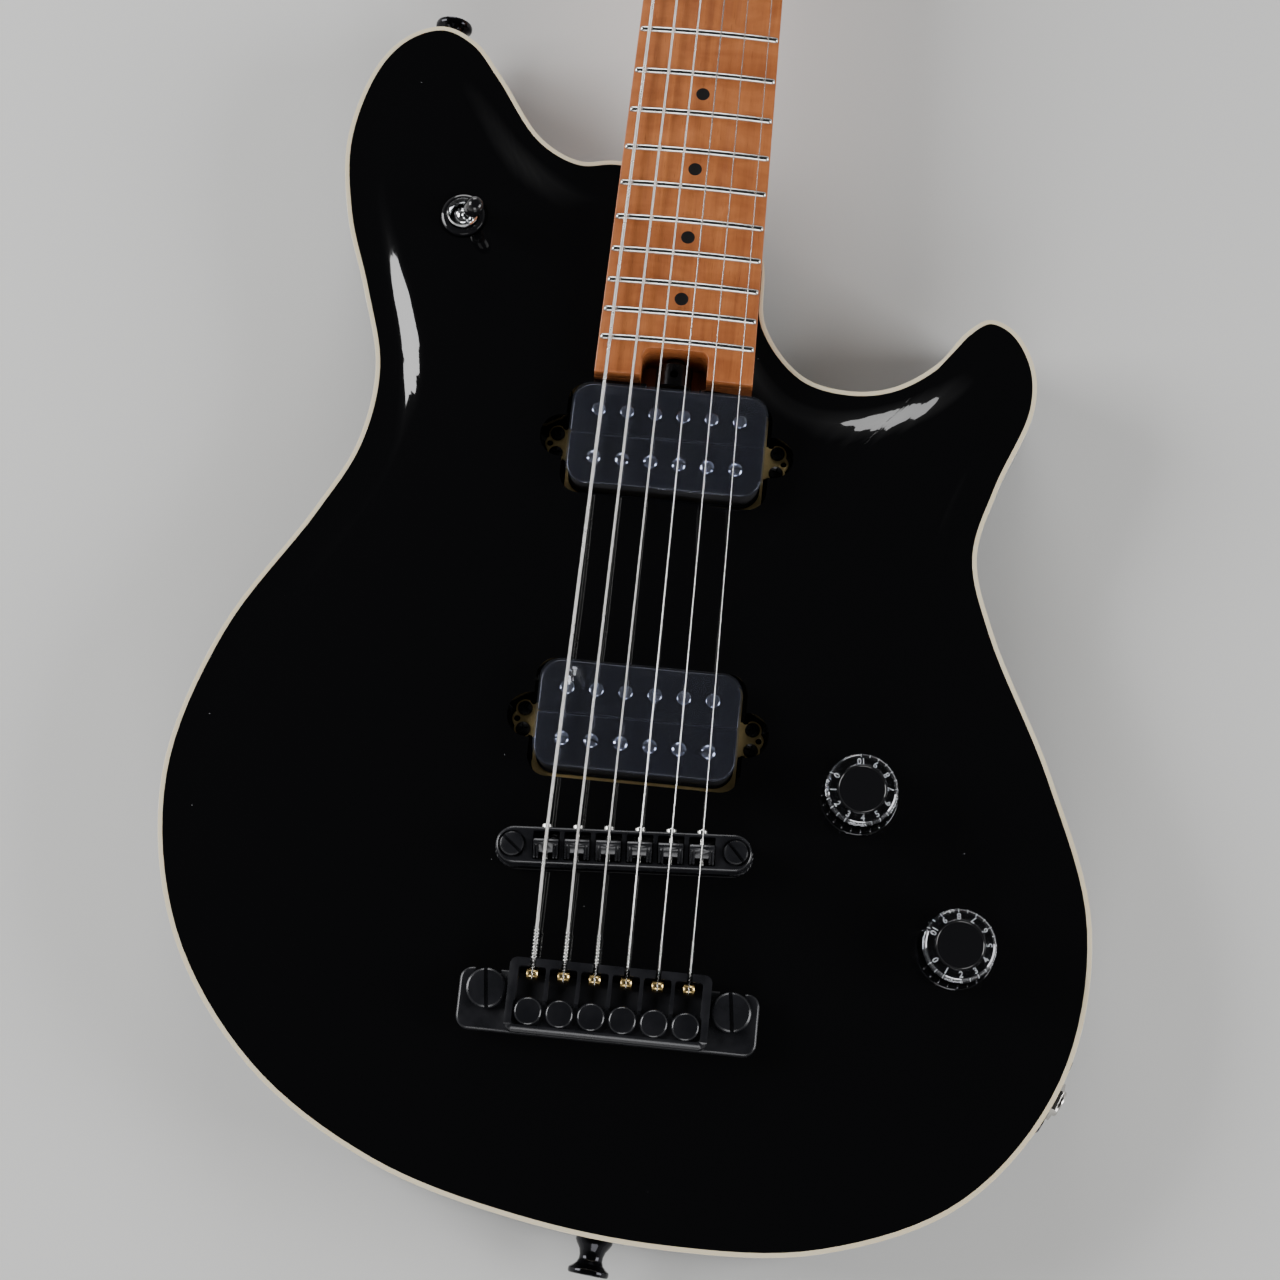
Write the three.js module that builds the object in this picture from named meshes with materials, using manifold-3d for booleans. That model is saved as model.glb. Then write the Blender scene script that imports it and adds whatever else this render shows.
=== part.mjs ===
// A solid-body electric guitar: an arched, bound body, a bolted-on neck with 22 frets and a
// three-a-side headstock, two humbucking pickups fixed straight to the wood, a six-saddle
// bridge on two posts and a tailpiece on two studs, with one volume, one tone and a toggle.
// Millimetres. The origin is on the flat back, under the middle of the string's end at the
// bridge. +Z leaves the top of the body, +Y runs to the headstock and +X is the treble side.
import * as THREE from "three";
import { mergeVertices } from "three/addons/utils/BufferGeometryUtils.js";
import Module from "manifold-3d";

const wasm = await Module();
wasm.setup();

// ---------------------------------------------------------------- driving dimensions

// Every pair of fixed pieces that touches keeps this gap, and what turns or slides keeps RUNNING.
const GAP = 0.3;
const RUNNING = 0.4;

// Strings, from the low E to the high E, and their lines from the saddles to the nut.
const SCALE_LENGTH = 648;
const STRING_DIAMETERS = [1.17, 0.91, 0.66, 0.43, 0.33, 0.25];
const SADDLE_PITCH = 10.45;
const NUT_PITCH = 7.05;
const STRING_HEIGHT = 64;
const NUT_LIFT = 1.7;
const LAST_FRET_LIFT = 3.3;
const BALL_RADIUS = 2;
const BALL_LENGTH = 3.8;

// Body: flat back, upright sides, a binding round the top edge and a domed top.
const BODY_LENGTH = 436;
const BODY_WIDTH = 323;
const EDGE_HEIGHT = 40;
const ARCH_RISE = 10;
const ARCH_POWER = 2.4;
const BACK_CHAMFER = 4;
const BINDING_WIDTH = 1.6;
const BINDING_DEPTH = 6;
const COVER_THICKNESS = 2;
const COVER_LEDGE = 6;
const CAVITY_CEILING = 36;
const WIRE_HOLE_RADIUS = 4;
const WIRE_HOLE_HEIGHT = 30;

// Neck, measured in its own frame: its zero height is the crown of the fingerboard.
const NECK_PITCH = THREE.MathUtils.degToRad(1.5);
const FRET_COUNT = 22;
const BOARD_OVERHANG = 13.5;
const BOARD_THICKNESS = 6;
const CROWN_RADIUS = 305;
const NUT_WIDTH = 41.5;
const BOARD_END_WIDTH = 56.5;
const FRET_WIDTH = 2.4;
const FRET_HEIGHT = 1.1;
const NUT_THICKNESS = 5;
const NUT_RISE = 2.6;
const HEEL_DEPTH = 19;
const HEEL_LENGTH = 94;
const NECK_DEPTH_AT_HEEL = 16.4;
const NECK_DEPTH_AT_NUT = 14.6;
const HEEL_BLEND_LENGTH = 24;
const VOLUTE_LENGTH = 9;
const SQUARE_SECTION = 10;
const BLEND_SECTION = 4.5;
const FULL_SECTION = 2.4;
const ROUND_SECTION = 2.1;
const NOTCH_WIDTH = 23.5;
const NOTCH_LENGTH = 10.5;
const NOTCH_FLOOR = -19.5;
const NOTCH_CORNER = 3;
const ROD_RADIUS = 3;
const ROD_DEPTH = -12;
const ROD_END_MARGIN = 18;
const WHEEL_RADIUS = 6.5;
const WHEEL_LENGTH = 9;
const WHEEL_OVERHANG = 1;
const WHEEL_SPOKE_RADIUS = 1.5;
const WHEEL_RELIEF = 3;
const PLATE_WIDTH = 44;
const PLATE_LENGTH = 50;
const PLATE_THICKNESS = 2.2;
const PLATE_MARGIN = 10;
const NECK_SCREW_RADIUS = 2.2;
const NECK_SCREW_LENGTH = 44;
const NECK_SCREW_INSET = 6;
const POCKET_RELIEF = 6;

// Headstock and tuners, measured from the back edge of the nut.
const HEADSTOCK_TILT = THREE.MathUtils.degToRad(3);
const HEADSTOCK_THICKNESS = 14;
const HEADSTOCK_LENGTH = 160;
const HEADSTOCK_WIDTH = 76;
const TUNER_FIRST = 38;
const TUNER_PITCH = 41;
const TUNER_OFFSET = 24;
const POST_RADIUS = 3;
const POST_RISE = 19;
const WRAP_HEIGHT = 4;
const HOUSING_LENGTH = 20;
const HOUSING_WIDTH = 16;
const HOUSING_DEPTH = 10;
const BUSHING_RADIUS = 4.8;
const BUSHING_FLANGE_RADIUS = 6.6;
const BUSHING_RISE = 2.2;
const HOUSING_SHIFT = 2;
const HOUSING_CORNER = 3;
const HOUSING_FLOOR = 2;
const WORM_OFFSET = 6.2;
const WORM_RADIUS = 1.8;
const WORM_INNER_REACH = 5.5;
const BUTTON_CLEARANCE = 4;
const BUTTON_WIDTH = 17;
const BUTTON_LENGTH = 14;
const BUTTON_THICKNESS = 6;

// Pickups. The string clearance is from a string's middle to the top of the pickup.
const PICKUP_LENGTH = 68.5;
const PICKUP_WIDTH = 37;
const PICKUP_DEPTH = 14;
const PICKUP_CORNER = 7;
const PICKUP_STRING_CLEARANCE = 5;
const BASEPLATE_MARGIN = 1;
const BASEPLATE_THICKNESS = 1.2;
const EAR_LENGTH = 8.5;
const EAR_WIDTH = 13;
const PICKUP_CAVITY_FLOOR = 24;
const PICKUP_CAVITY_MARGIN = 1.4;
const BOBBIN_SPLIT = 0.8;
const BOBBIN_SPLIT_DEPTH = 1;
const PICKUP_SCREW_RADIUS = 1.4;
const PICKUP_SCREW_HEAD_RADIUS = 2.6;
const PICKUP_SCREW_HEAD_HEIGHT = 1.6;
const PICKUP_SCREW_SPREAD = 7.4;
const PICKUP_SCREW_BITE = 10;
const BRIDGE_PICKUP_Y = 42.7;
const NECK_PICKUP_GAP = 4.8;

// Bridge, measured in its own frame: turned a little so that the bass saddles sit back.
const BRIDGE_SETBACK = -2.3;
const BRIDGE_TURN = THREE.MathUtils.degToRad(3.3);
const BEAM_END = 5.5;
const BEAM_WIDTH = 12.6;
const BEAM_TOP = 60.4;
const BEAM_DEPTH = 8.6;
const BEAM_FLOOR = 3;
const BRIDGE_POST_MARGIN = 6.15;
const BRIDGE_POST_RADIUS = 3.2;
const BRIDGE_BUSH_RADIUS = 5;
const THUMBWHEEL_RADIUS = 6.2;
const POST_HEAD_RADIUS = 4;
const POST_HEAD_HEIGHT = 1.2;
const POST_BITE = 20;
const SADDLE_DIVIDER = 1.5;
const SADDLE_LENGTH = 4.8;
const SADDLE_POCKET_LENGTH = 9.8;
const SADDLE_CREST = 1.2;

// Tailpiece.
const TAIL_Y = -53.8;
const TAIL_END_WALL = 2.35;
const TAIL_BLOCK_WIDTH = 24.6;
const TAIL_TOP = 58;
const TAIL_BOTTOM = 48.8;
const TAIL_WING_TOP = 54;
const TAIL_WING_END = 9.2;
const TAIL_WING_WIDTH = 20.5;
const TAIL_WING_SHIFT = -2.2;
const STUD_MARGIN = 0.4;
const STUD_RADIUS = 4;
const STUD_HEAD_RADIUS = 6.7;
const STUD_HEAD_HEIGHT = 2.6;
const STUD_FLANGE_HEIGHT = 0.9;
const STUD_SHIFT = 1.2;
const STUD_EDGE = 0.7;
const STUD_BITE = 21;
const CHANNEL_WIDTH = 5.4;
const STRING_SLOT_WIDTH = 2.2;
const CHANNEL_FLOOR = 52.3;
const CHANNEL_LENGTH = 10;
const BALL_SETBACK = 4.9;
const BALL_HEIGHT = 54.8;

// Controls. Their places are given on a body of the standard size and follow its outline.
const VOLUME_PLACE = [77.5, 25];
const TONE_PLACE = [114, -23.5];
const SWITCH_PLACE = [-82.8, 227];
const JACK_CAVITY_PLACE = [128, -58];
const POT_RADIUS = 12;
const POT_DEPTH = 11;
const POT_BUSHING_RADIUS = 4.3;
const POT_NUT_RADIUS = 7;
const POT_SHAFT_RADIUS = 3;
const POT_NUT_HEIGHT = 2;
const POT_BUSHING_RISE = 2;
const POT_FLOOR = 3;
const CONTROL_SEAT_DEPTH = 0.7;
const KNOB_BASE_RADIUS = 13.2;
const KNOB_TOP_RADIUS = 12;
const KNOB_HEIGHT = 15;
const KNOB_SKIRT = 6;
const KNOB_WALL = 2.6;
const KNOB_CLEARANCE = 1;
const POT_WELL_RADIUS = 22;
const JACK_WELL_RADIUS = 14;
const SWITCH_WELL_RADIUS = 20;
const SWITCH_LENGTH = 26;
const SWITCH_WIDTH = 18;
const SWITCH_DEPTH = 24;
const SWITCH_BUSHING_RADIUS = 5.8;
const SWITCH_BORE_RADIUS = 4.3;
const SWITCH_NUT_RADIUS = 8;
const SWITCH_NUT_TOP = 2.6;
const SWITCH_BUSHING_RISE = 4.2;
const SWITCH_BORE_DEPTH = 9;
const LEVER_PIVOT_DEPTH = 1;
const LEVER_TAIL = 6;
const SWITCH_HEADING = THREE.MathUtils.degToRad(-26);
const LEVER_LEAN = THREE.MathUtils.degToRad(20);
const LEVER_RADIUS = 1.4;
const LEVER_TIP_RADIUS = 3.5;
const LEVER_HEIGHT = 22;
const LEVER_TIP_LENGTH = 11;
const JACK_PLACE = [158, -70];
const JACK_HEIGHT = 20;
const JACK_PLATE_SIZE = 27;
const JACK_PLATE_THICKNESS = 1.8;
const JACK_BORE_RADIUS = 3.6;
const JACK_SLEEVE_RADIUS = 4.7;
const JACK_NUT_RADIUS = 7;
const JACK_LENGTH = 20;
const JACK_SEAT = 1.2;
const JACK_PLATE_CORNER = 4;
const JACK_NUT_HEIGHT = 2.2;
const JACK_RISE = 3.6;
const JACK_FLANGE_THICKNESS = 2;

// Strap buttons. Each one, like the jack, stands on the side that is nearest to its place.
const HORN_STRAP_PLACE = [-97, 320];
const END_STRAP_PLACE = [2, -140];
const STRAP_HEIGHT = 20;
const STRAP_BASE_RADIUS = 6.3;
const STRAP_WAIST_RADIUS = 4;
const STRAP_FLANGE_RADIUS = 7;
const STRAP_LENGTH = 13;
const STRAP_SCREW_RADIUS = 1.8;
const STRAP_SCREW_LENGTH = 15;
const STRAP_SEAT = 1.3;

// Body outline on the standard size, from the bass side of the neck round to the treble side.
const OUTLINE = [
  [-30, 257], [-43, 255.5], [-58, 263], [-76, 287], [-87, 300], [-99.5, 305.5], [-112, 301],
  [-122.5, 288], [-130, 257], [-126, 226], [-116, 196.5], [-108, 167], [-111, 138], [-123, 112],
  [-150, 64], [-162.5, 11], [-151, -42], [-119, -84.5], [-74, -112], [-24, -125.5], [27, -130.5],
  [78, -126.5], [124, -105.5], [154, -63], [160.5, -11], [144, 40], [120.5, 90], [113, 117],
  [119, 143], [130, 174], [129, 191], [121, 204], [112, 207.5], [104, 202], [94, 188.5],
  [79, 178], [63, 175], [46, 179], [31, 197], [28, 222], [19, 243], [-5, 254],
];
const OUTLINE_STEPS = 2;
const ARCH_MIDDLE = 60;
const ARCH_RINGS = [0.9, 0.72, 0.48, 0.22];

// ---------------------------------------------------------------- solids from three.js shapes

const UP = new THREE.Vector3(0, 0, 1);

/** The closed solid of a geometry, with its faces pointing out. */
function solid(geometry) {
  const bare = geometry.clone();
  bare.deleteAttribute("normal");
  bare.deleteAttribute("uv");
  const merged = mergeVertices(bare, 1e-4);
  const vertProperties = new Float32Array(merged.attributes.position.array);
  const triVerts = new Uint32Array(merged.index.array);
  const made = new wasm.Manifold(new wasm.Mesh({ numProp: 3, vertProperties, triVerts }));
  if (made.volume() >= 0) return made;
  for (let i = 0; i < triVerts.length; i += 3) {
    const first = triVerts[i];
    triVerts[i] = triVerts[i + 1];
    triVerts[i + 1] = first;
  }
  return new wasm.Manifold(new wasm.Mesh({ numProp: 3, vertProperties, triVerts }));
}

/** A solid moved by a three.js matrix. */
function moved(shape, matrix) {
  return shape.transform([...matrix.elements]);
}

/** A frame at a point, turned about one of its axes. */
function frameAt(x, y, z, axis = UP, angle = 0) {
  return new THREE.Matrix4().makeRotationAxis(axis, angle).setPosition(x, y, z);
}

/** A block between two corners. */
function block(x0, x1, y0, y1, z0, z1) {
  const geometry = new THREE.BoxGeometry(x1 - x0, y1 - y0, z1 - z0);
  return solid(geometry.translate((x0 + x1) / 2, (y0 + y1) / 2, (z0 + z1) / 2));
}

/** An upright round bar, or a hole's cutter, between two heights. */
function bar(radius, z0, z1, x = 0, y = 0, sides = 12) {
  const geometry = new THREE.CylinderGeometry(radius, radius, z1 - z0, sides);
  return solid(geometry.rotateX(Math.PI / 2).translate(x, y, (z0 + z1) / 2));
}

/** A round bar between any two points. */
function barBetween(start, end, radius, sides = 8) {
  const from = new THREE.Vector3(...start);
  const along = new THREE.Vector3(...end).sub(from);
  const turn = new THREE.Quaternion().setFromUnitVectors(UP, along.clone().normalize());
  const place = new THREE.Matrix4().makeRotationFromQuaternion(turn).setPosition(from);
  return moved(bar(radius, 0, along.length(), 0, 0, sides), place);
}

/** A turned piece about Z, from [radius, height] pairs that start and end on the axis. */
function turned(profile, sides) {
  const points = profile.map(([r, z]) => new THREE.Vector2(r, z));
  return solid(new THREE.LatheGeometry(points, sides).rotateX(Math.PI / 2));
}

/** A flat outline raised between two heights. */
function plate(shape, z0, z1, curveSegments = 3) {
  const options = { depth: z1 - z0, bevelEnabled: false, curveSegments };
  return solid(new THREE.ExtrudeGeometry(shape, options).translate(0, 0, z0));
}

/** A side profile of [y, z] pairs, drawn out from x0 to x1. */
function bladeAcross(profile, x0, x1) {
  const shape = new THREE.Shape(profile.map(([y, z]) => new THREE.Vector2(y, z)));
  const geometry = new THREE.ExtrudeGeometry(shape, { depth: x1 - x0, bevelEnabled: false });
  const basis = new THREE.Matrix4().makeBasis(
    new THREE.Vector3(0, 1, 0),
    new THREE.Vector3(0, 0, 1),
    new THREE.Vector3(1, 0, 0),
  );
  return solid(geometry.applyMatrix4(basis).translate(x0, 0, 0));
}

/** A closed skin over rings of equal length. Each end is closed by its own triangles. */
function skin(rings, startFaces, endFaces) {
  const count = rings[0].length;
  const positions = rings.flat().flatMap((p) => [p.x, p.y, p.z]);
  const index = [];
  for (let r = 0; r < rings.length - 1; r += 1) {
    for (let i = 0; i < count; i += 1) {
      const a = r * count + i;
      const b = r * count + ((i + 1) % count);
      index.push(a, b, b + count, a, b + count, a + count);
    }
  }
  const last = (rings.length - 1) * count;
  startFaces.forEach(([a, b, c]) => index.push(c, b, a));
  endFaces.forEach(([a, b, c]) => index.push(a + last, b + last, c + last));
  const geometry = new THREE.BufferGeometry();
  geometry.setAttribute("position", new THREE.Float32BufferAttribute(positions, 3));
  geometry.setIndex(index);
  return solid(geometry);
}

/** A skin over rings whose ends are convex. */
function loft(rings) {
  const fan = [];
  for (let i = 1; i < rings[0].length - 1; i += 1) fan.push([0, i, i + 1]);
  return skin(rings, fan, fan);
}

/** A rectangle with round corners about a middle. */
function roundedRectangle(width, height, radius, x = 0, y = 0) {
  const w = width / 2 - radius;
  const h = height / 2 - radius;
  const shape = new THREE.Shape();
  shape.absarc(x + w, y + h, radius, 0, Math.PI / 2, false);
  shape.absarc(x - w, y + h, radius, Math.PI / 2, Math.PI, false);
  shape.absarc(x - w, y - h, radius, Math.PI, Math.PI * 1.5, false);
  shape.absarc(x + w, y - h, radius, Math.PI * 1.5, Math.PI * 2, false);
  return shape;
}

/** The outline of a cord stretched round circles of [x, y, radius], each grown by a margin. */
function stretchedRound(circles, margin) {
  const steps = 20;
  const points = [];
  for (const [x, y, radius] of circles) {
    for (let k = 0; k < steps; k += 1) {
      const angle = (2 * Math.PI * k) / steps;
      const reach = radius + margin;
      points.push(new THREE.Vector2(x + reach * Math.cos(angle), y + reach * Math.sin(angle)));
    }
  }
  points.sort((a, b) => a.x - b.x || a.y - b.y);
  const half = (ordered) => {
    const chain = [];
    for (const p of ordered) {
      while (chain.length > 1) {
        const a = chain[chain.length - 2];
        const b = chain[chain.length - 1];
        const turn = (b.x - a.x) * (p.y - a.y) - (b.y - a.y) * (p.x - a.x);
        if (turn > 1e-6) break;
        chain.pop();
      }
      chain.push(p);
    }
    return chain.slice(0, -1);
  };
  return new THREE.Shape([...half(points), ...half([...points].reverse())]);
}

/** A route through points that bends only at those points, for a string under tension. */
class TautRoute extends THREE.Curve {
  constructor(points) {
    super();
    this.points = points;
  }

  getPoint(t, target = new THREE.Vector3()) {
    const spans = this.points.length - 1;
    const span = Math.min(Math.floor(t * spans), spans - 1);
    return target.lerpVectors(this.points[span], this.points[span + 1], t * spans - span);
  }

  getUtoTmapping(u) {
    return u;
  }
}

/** A round wire through points. */
function wire(points, radius, sides = 8) {
  const section = new THREE.Shape();
  section.absarc(0, 0, radius, 0, Math.PI * 2, false);
  const extrudePath = new TautRoute(points);
  const steps = points.length - 1;
  return solid(
    new THREE.ExtrudeGeometry(section, { steps, extrudePath, curveSegments: sides / 2 }),
  );
}

// ---------------------------------------------------------------- finishes and nodes

const FINISHES = {
  blackLacquer: { color: 0x08080a, roughness: 0.06, metalness: 0 },
  creamPlastic: { color: 0xe9e0c4, roughness: 0.35, metalness: 0 },
  blackPlastic: { color: 0x101012, roughness: 0.4, metalness: 0 },
  glossBlackPlastic: { color: 0x0b0b0d, roughness: 0.12, metalness: 0 },
  roastedMaple: { color: 0xa8612e, roughness: 0.5, metalness: 0 },
  blackMetal: { color: 0x141416, roughness: 0.3, metalness: 0.8 },
  blackChrome: { color: 0x2a2a2e, roughness: 0.15, metalness: 1 },
  chrome: { color: 0xd8d8dc, roughness: 0.12, metalness: 1 },
  brass: { color: 0xc9a24a, roughness: 0.35, metalness: 1 },
  steel: { color: 0xa9abb0, roughness: 0.35, metalness: 1 },
};

const guitar = new THREE.Group();

/** Adds one named sub-part, modelled in the frame of the group that holds it. */
function addPart(name, shape, finish, group = guitar) {
  const made = shape.getMesh();
  const geometry = new THREE.BufferGeometry();
  geometry.setAttribute("position", new THREE.Float32BufferAttribute(made.vertProperties, 3));
  geometry.setIndex(new THREE.Uint32BufferAttribute(made.triVerts, 1));
  const mesh = new THREE.Mesh(geometry, new THREE.MeshStandardMaterial(FINISHES[finish]));
  mesh.name = name;
  group.add(mesh);
}

/** A group that holds sub-parts in the frame given by a matrix. */
function groupIn(matrix, parent = guitar) {
  const group = new THREE.Group();
  group.applyMatrix4(matrix);
  parent.add(group);
  return group;
}

// ---------------------------------------------------------------- body outline and top

const span = (axis) => {
  const values = OUTLINE.map((point) => point[axis]);
  return Math.max(...values) - Math.min(...values);
};
const widthScale = BODY_WIDTH / span(0);
const lengthScale = BODY_LENGTH / span(1);
const onBody = ([x, y]) => [x * widthScale, y * lengthScale];

const outline = new THREE.CatmullRomCurve3(
  OUTLINE.map((point) => new THREE.Vector3(...onBody(point), 0)),
  true,
  "centripetal",
)
  .getPoints(OUTLINE.length * OUTLINE_STEPS)
  .slice(0, -1);

/** The unit normal that points out of the body at one point of the outline. */
function outwardAt(points, i) {
  const before = points[(i + points.length - 1) % points.length];
  const after = points[(i + 1) % points.length];
  return new THREE.Vector3(after.y - before.y, before.x - after.x, 0).normalize();
}

const inset = (points, distance) =>
  points.map((p, i) => p.clone().addScaledVector(outwardAt(points, i), -distance));
const atHeight = (points, z) => points.map((p) => new THREE.Vector3(p.x, p.y, z));

const topOutline = inset(outline, BINDING_WIDTH + GAP);
const archMiddle = new THREE.Vector3(...onBody([0, ARCH_MIDDLE]), 0);
const archRise = (share) => ARCH_RISE * (1 - share ** ARCH_POWER);

/** The height of the domed top at a place: it falls with the share of the way to the edge. */
function topHeight(x, y) {
  const dx = x - archMiddle.x;
  const dy = y - archMiddle.y;
  for (let i = 0; i < topOutline.length; i += 1) {
    const a = topOutline[i];
    const b = topOutline[(i + 1) % topOutline.length];
    const cross = dx * (b.y - a.y) - dy * (b.x - a.x);
    const ax = a.x - archMiddle.x;
    const ay = a.y - archMiddle.y;
    const reach = (ax * (b.y - a.y) - ay * (b.x - a.x)) / cross;
    const along = (ax * dy - ay * dx) / cross;
    if (reach > 0 && along >= 0 && along <= 1) return EDGE_HEIGHT + archRise(1 / reach);
  }
  return EDGE_HEIGHT;
}

/** The place and the outward heading of the body's side nearest to a place. */
function sideNear(x, y) {
  const place = new THREE.Vector3(x, y, 0);
  const found = outline.map((start, i) => {
    const next = (i + 1) % outline.length;
    const edge = new THREE.Line3(start, outline[next]);
    const share = edge.closestPointToPointParameter(place, true);
    const point = edge.at(share, new THREE.Vector3());
    const normal = outwardAt(outline, i).lerp(outwardAt(outline, next), share);
    return { point, heading: Math.atan2(normal.y, normal.x), distance: point.distanceTo(place) };
  });
  return found.reduce((best, side) => (side.distance < best.distance ? side : best));
}

function bodyBlank() {
  const rings = [
    atHeight(inset(outline, BACK_CHAMFER), 0),
    atHeight(outline, BACK_CHAMFER),
    atHeight(outline, EDGE_HEIGHT - BINDING_DEPTH - GAP),
    atHeight(topOutline, EDGE_HEIGHT - BINDING_DEPTH - GAP),
    atHeight(topOutline, EDGE_HEIGHT),
  ];
  for (const share of ARCH_RINGS) {
    const ring = topOutline.map((p) => p.clone().lerp(archMiddle, 1 - share));
    rings.push(atHeight(ring, EDGE_HEIGHT + archRise(share)));
  }
  const backFaces = THREE.ShapeUtils.triangulateShape(
    rings[0].map((p) => new THREE.Vector2(p.x, p.y)),
    [],
  );
  const innermost = rings[rings.length - 1];
  const topFaces = THREE.ShapeUtils.triangulateShape(
    innermost.map((p) => new THREE.Vector2(p.x, p.y)),
    [],
  );
  return skin(rings, backFaces, topFaces);
}

// ---------------------------------------------------------------- neck frame

const fretPlace = (number) => SCALE_LENGTH * 2 ** (-number / 12);
const lastFret = fretPlace(FRET_COUNT);
const boardEnd = lastFret - BOARD_OVERHANG;
const nutBack = SCALE_LENGTH + NUT_THICKNESS;
const liftPerLength = (LAST_FRET_LIFT - NUT_LIFT) / (SCALE_LENGTH - lastFret);
const saddleLift = NUT_LIFT + liftPerLength * SCALE_LENGTH;
const boardDatum = STRING_HEIGHT - saddleLift;
const crownDrop = (x) => (x * x) / (2 * CROWN_RADIUS);
const ACROSS = new THREE.Vector3(1, 0, 0);

const neckFrame = frameAt(0, 0, boardDatum, ACROSS, -NECK_PITCH);
const bodyToNeck = neckFrame.clone().invert();
const woodTop = -BOARD_THICKNESS - GAP;
const heelMouth = boardEnd + HEEL_LENGTH;

function widthAt(y) {
  const share = Math.min(Math.max((SCALE_LENGTH - y) / (SCALE_LENGTH - boardEnd), -0.1), 1);
  return share < 0 ? NUT_WIDTH : NUT_WIDTH + (BOARD_END_WIDTH - NUT_WIDTH) * share;
}

/** One cross-section of the neck's wood: flat on top and rounder as its fullness falls. */
function neckSection(y, depth, fullness) {
  const steps = 12;
  const ring = [];
  for (let k = 0; k <= steps; k += 1) {
    const angle = (Math.PI * k) / steps;
    const side = Math.cos(angle);
    const x = (widthAt(y) / 2) * Math.sign(side) * Math.abs(side) ** (2 / fullness);
    ring.push(new THREE.Vector3(x, y, woodTop - depth * Math.sin(angle) ** (2 / fullness)));
  }
  return ring;
}

/** The notch that leaves the truss rod's wheel open at the end of the neck. */
function notchCutter() {
  const shape = roundedRectangle(NOTCH_WIDTH, 2 * NOTCH_LENGTH, NOTCH_CORNER, 0, boardEnd);
  return plate(shape, NOTCH_FLOOR, NUT_RISE);
}

// ---------------------------------------------------------------- strings' end points

const stringSide = (number) => number - 3.5;
const saddleX = (number) => stringSide(number) * SADDLE_PITCH;
const nutX = (number) => stringSide(number) * NUT_PITCH;
const bridgeFrame = frameAt(0, BRIDGE_SETBACK, 0, UP, BRIDGE_TURN);
const headstockFrame = neckFrame
  .clone()
  .multiply(frameAt(0, nutBack, woodTop, ACROSS, -HEADSTOCK_TILT));

/** Strings 1 to 3 wind on the bass side's posts and 4 to 6 on the treble side's. */
function tunerPlace(number) {
  const side = number <= 3 ? -1 : 1;
  const row = number <= 3 ? number - 1 : 6 - number;
  return { side, x: side * TUNER_OFFSET, y: TUNER_FIRST + row * TUNER_PITCH };
}

/** The saddle's crest line in the bridge's frame, under the middle of its string. */
function saddlePoint(number) {
  const x = saddleX(number);
  const y = SADDLE_CREST;
  const z = STRING_HEIGHT - crownDrop(x);
  return new THREE.Vector3(x, y, z);
}

const stringRadius = (number) => STRING_DIAMETERS[number - 1] / 2;

/** Where each string lies: its ball, its saddle, the nut's front edge and its post. */
function stringRoute(number) {
  const ball = new THREE.Vector3(saddleX(number), tailFront - BALL_SETBACK, BALL_HEIGHT);
  const saddle = saddlePoint(number).applyMatrix4(bridgeFrame);
  const nutCrest = new THREE.Vector3(
    nutX(number),
    SCALE_LENGTH,
    NUT_LIFT - crownDrop(nutX(number)),
  );
  const { side, x, y } = tunerPlace(number);
  const reach = POST_RADIUS + stringRadius(number) + GAP;
  const post = new THREE.Vector3(x - side * reach, y, WRAP_HEIGHT);
  return [ball, saddle, nutCrest.applyMatrix4(neckFrame), post.applyMatrix4(headstockFrame)];
}

const tailFront = TAIL_Y + TAIL_BLOCK_WIDTH / 2;

/** The height of the middle of the string plane over a place on the body. */
function stringHeightOver(y) {
  const route = stringRoute(3);
  const share = (y - route[1].y) / (route[2].y - route[1].y);
  return route[1].z + (route[2].z - route[1].z) * share;
}

// ---------------------------------------------------------------- pickups

const pickups = [
  { name: "neck_pickup", y: boardEnd - NECK_PICKUP_GAP - PICKUP_WIDTH / 2 },
  { name: "bridge_pickup", y: BRIDGE_PICKUP_Y },
];
for (const pickup of pickups) {
  pickup.top = stringHeightOver(pickup.y) - PICKUP_STRING_CLEARANCE;
  pickup.frame = frameAt(0, pickup.y, pickup.top, ACROSS, -NECK_PITCH);
}
const baseplateTop = -PICKUP_DEPTH - GAP;
const baseplateBottom = baseplateTop - BASEPLATE_THICKNESS;
const baseplateLength = PICKUP_LENGTH + 2 * BASEPLATE_MARGIN;
const earSpan = baseplateLength + 2 * EAR_LENGTH;
const pickupScrewPlaces = [-1, 1].flatMap((side) =>
  [-1, 1].map((end) => [
    side * (baseplateLength / 2 + EAR_LENGTH / 2),
    (end * PICKUP_SCREW_SPREAD) / 2,
  ]),
);
const pickupScrewEnd = (pickup) => PICKUP_CAVITY_FLOOR - PICKUP_SCREW_BITE - pickup.top;

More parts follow.
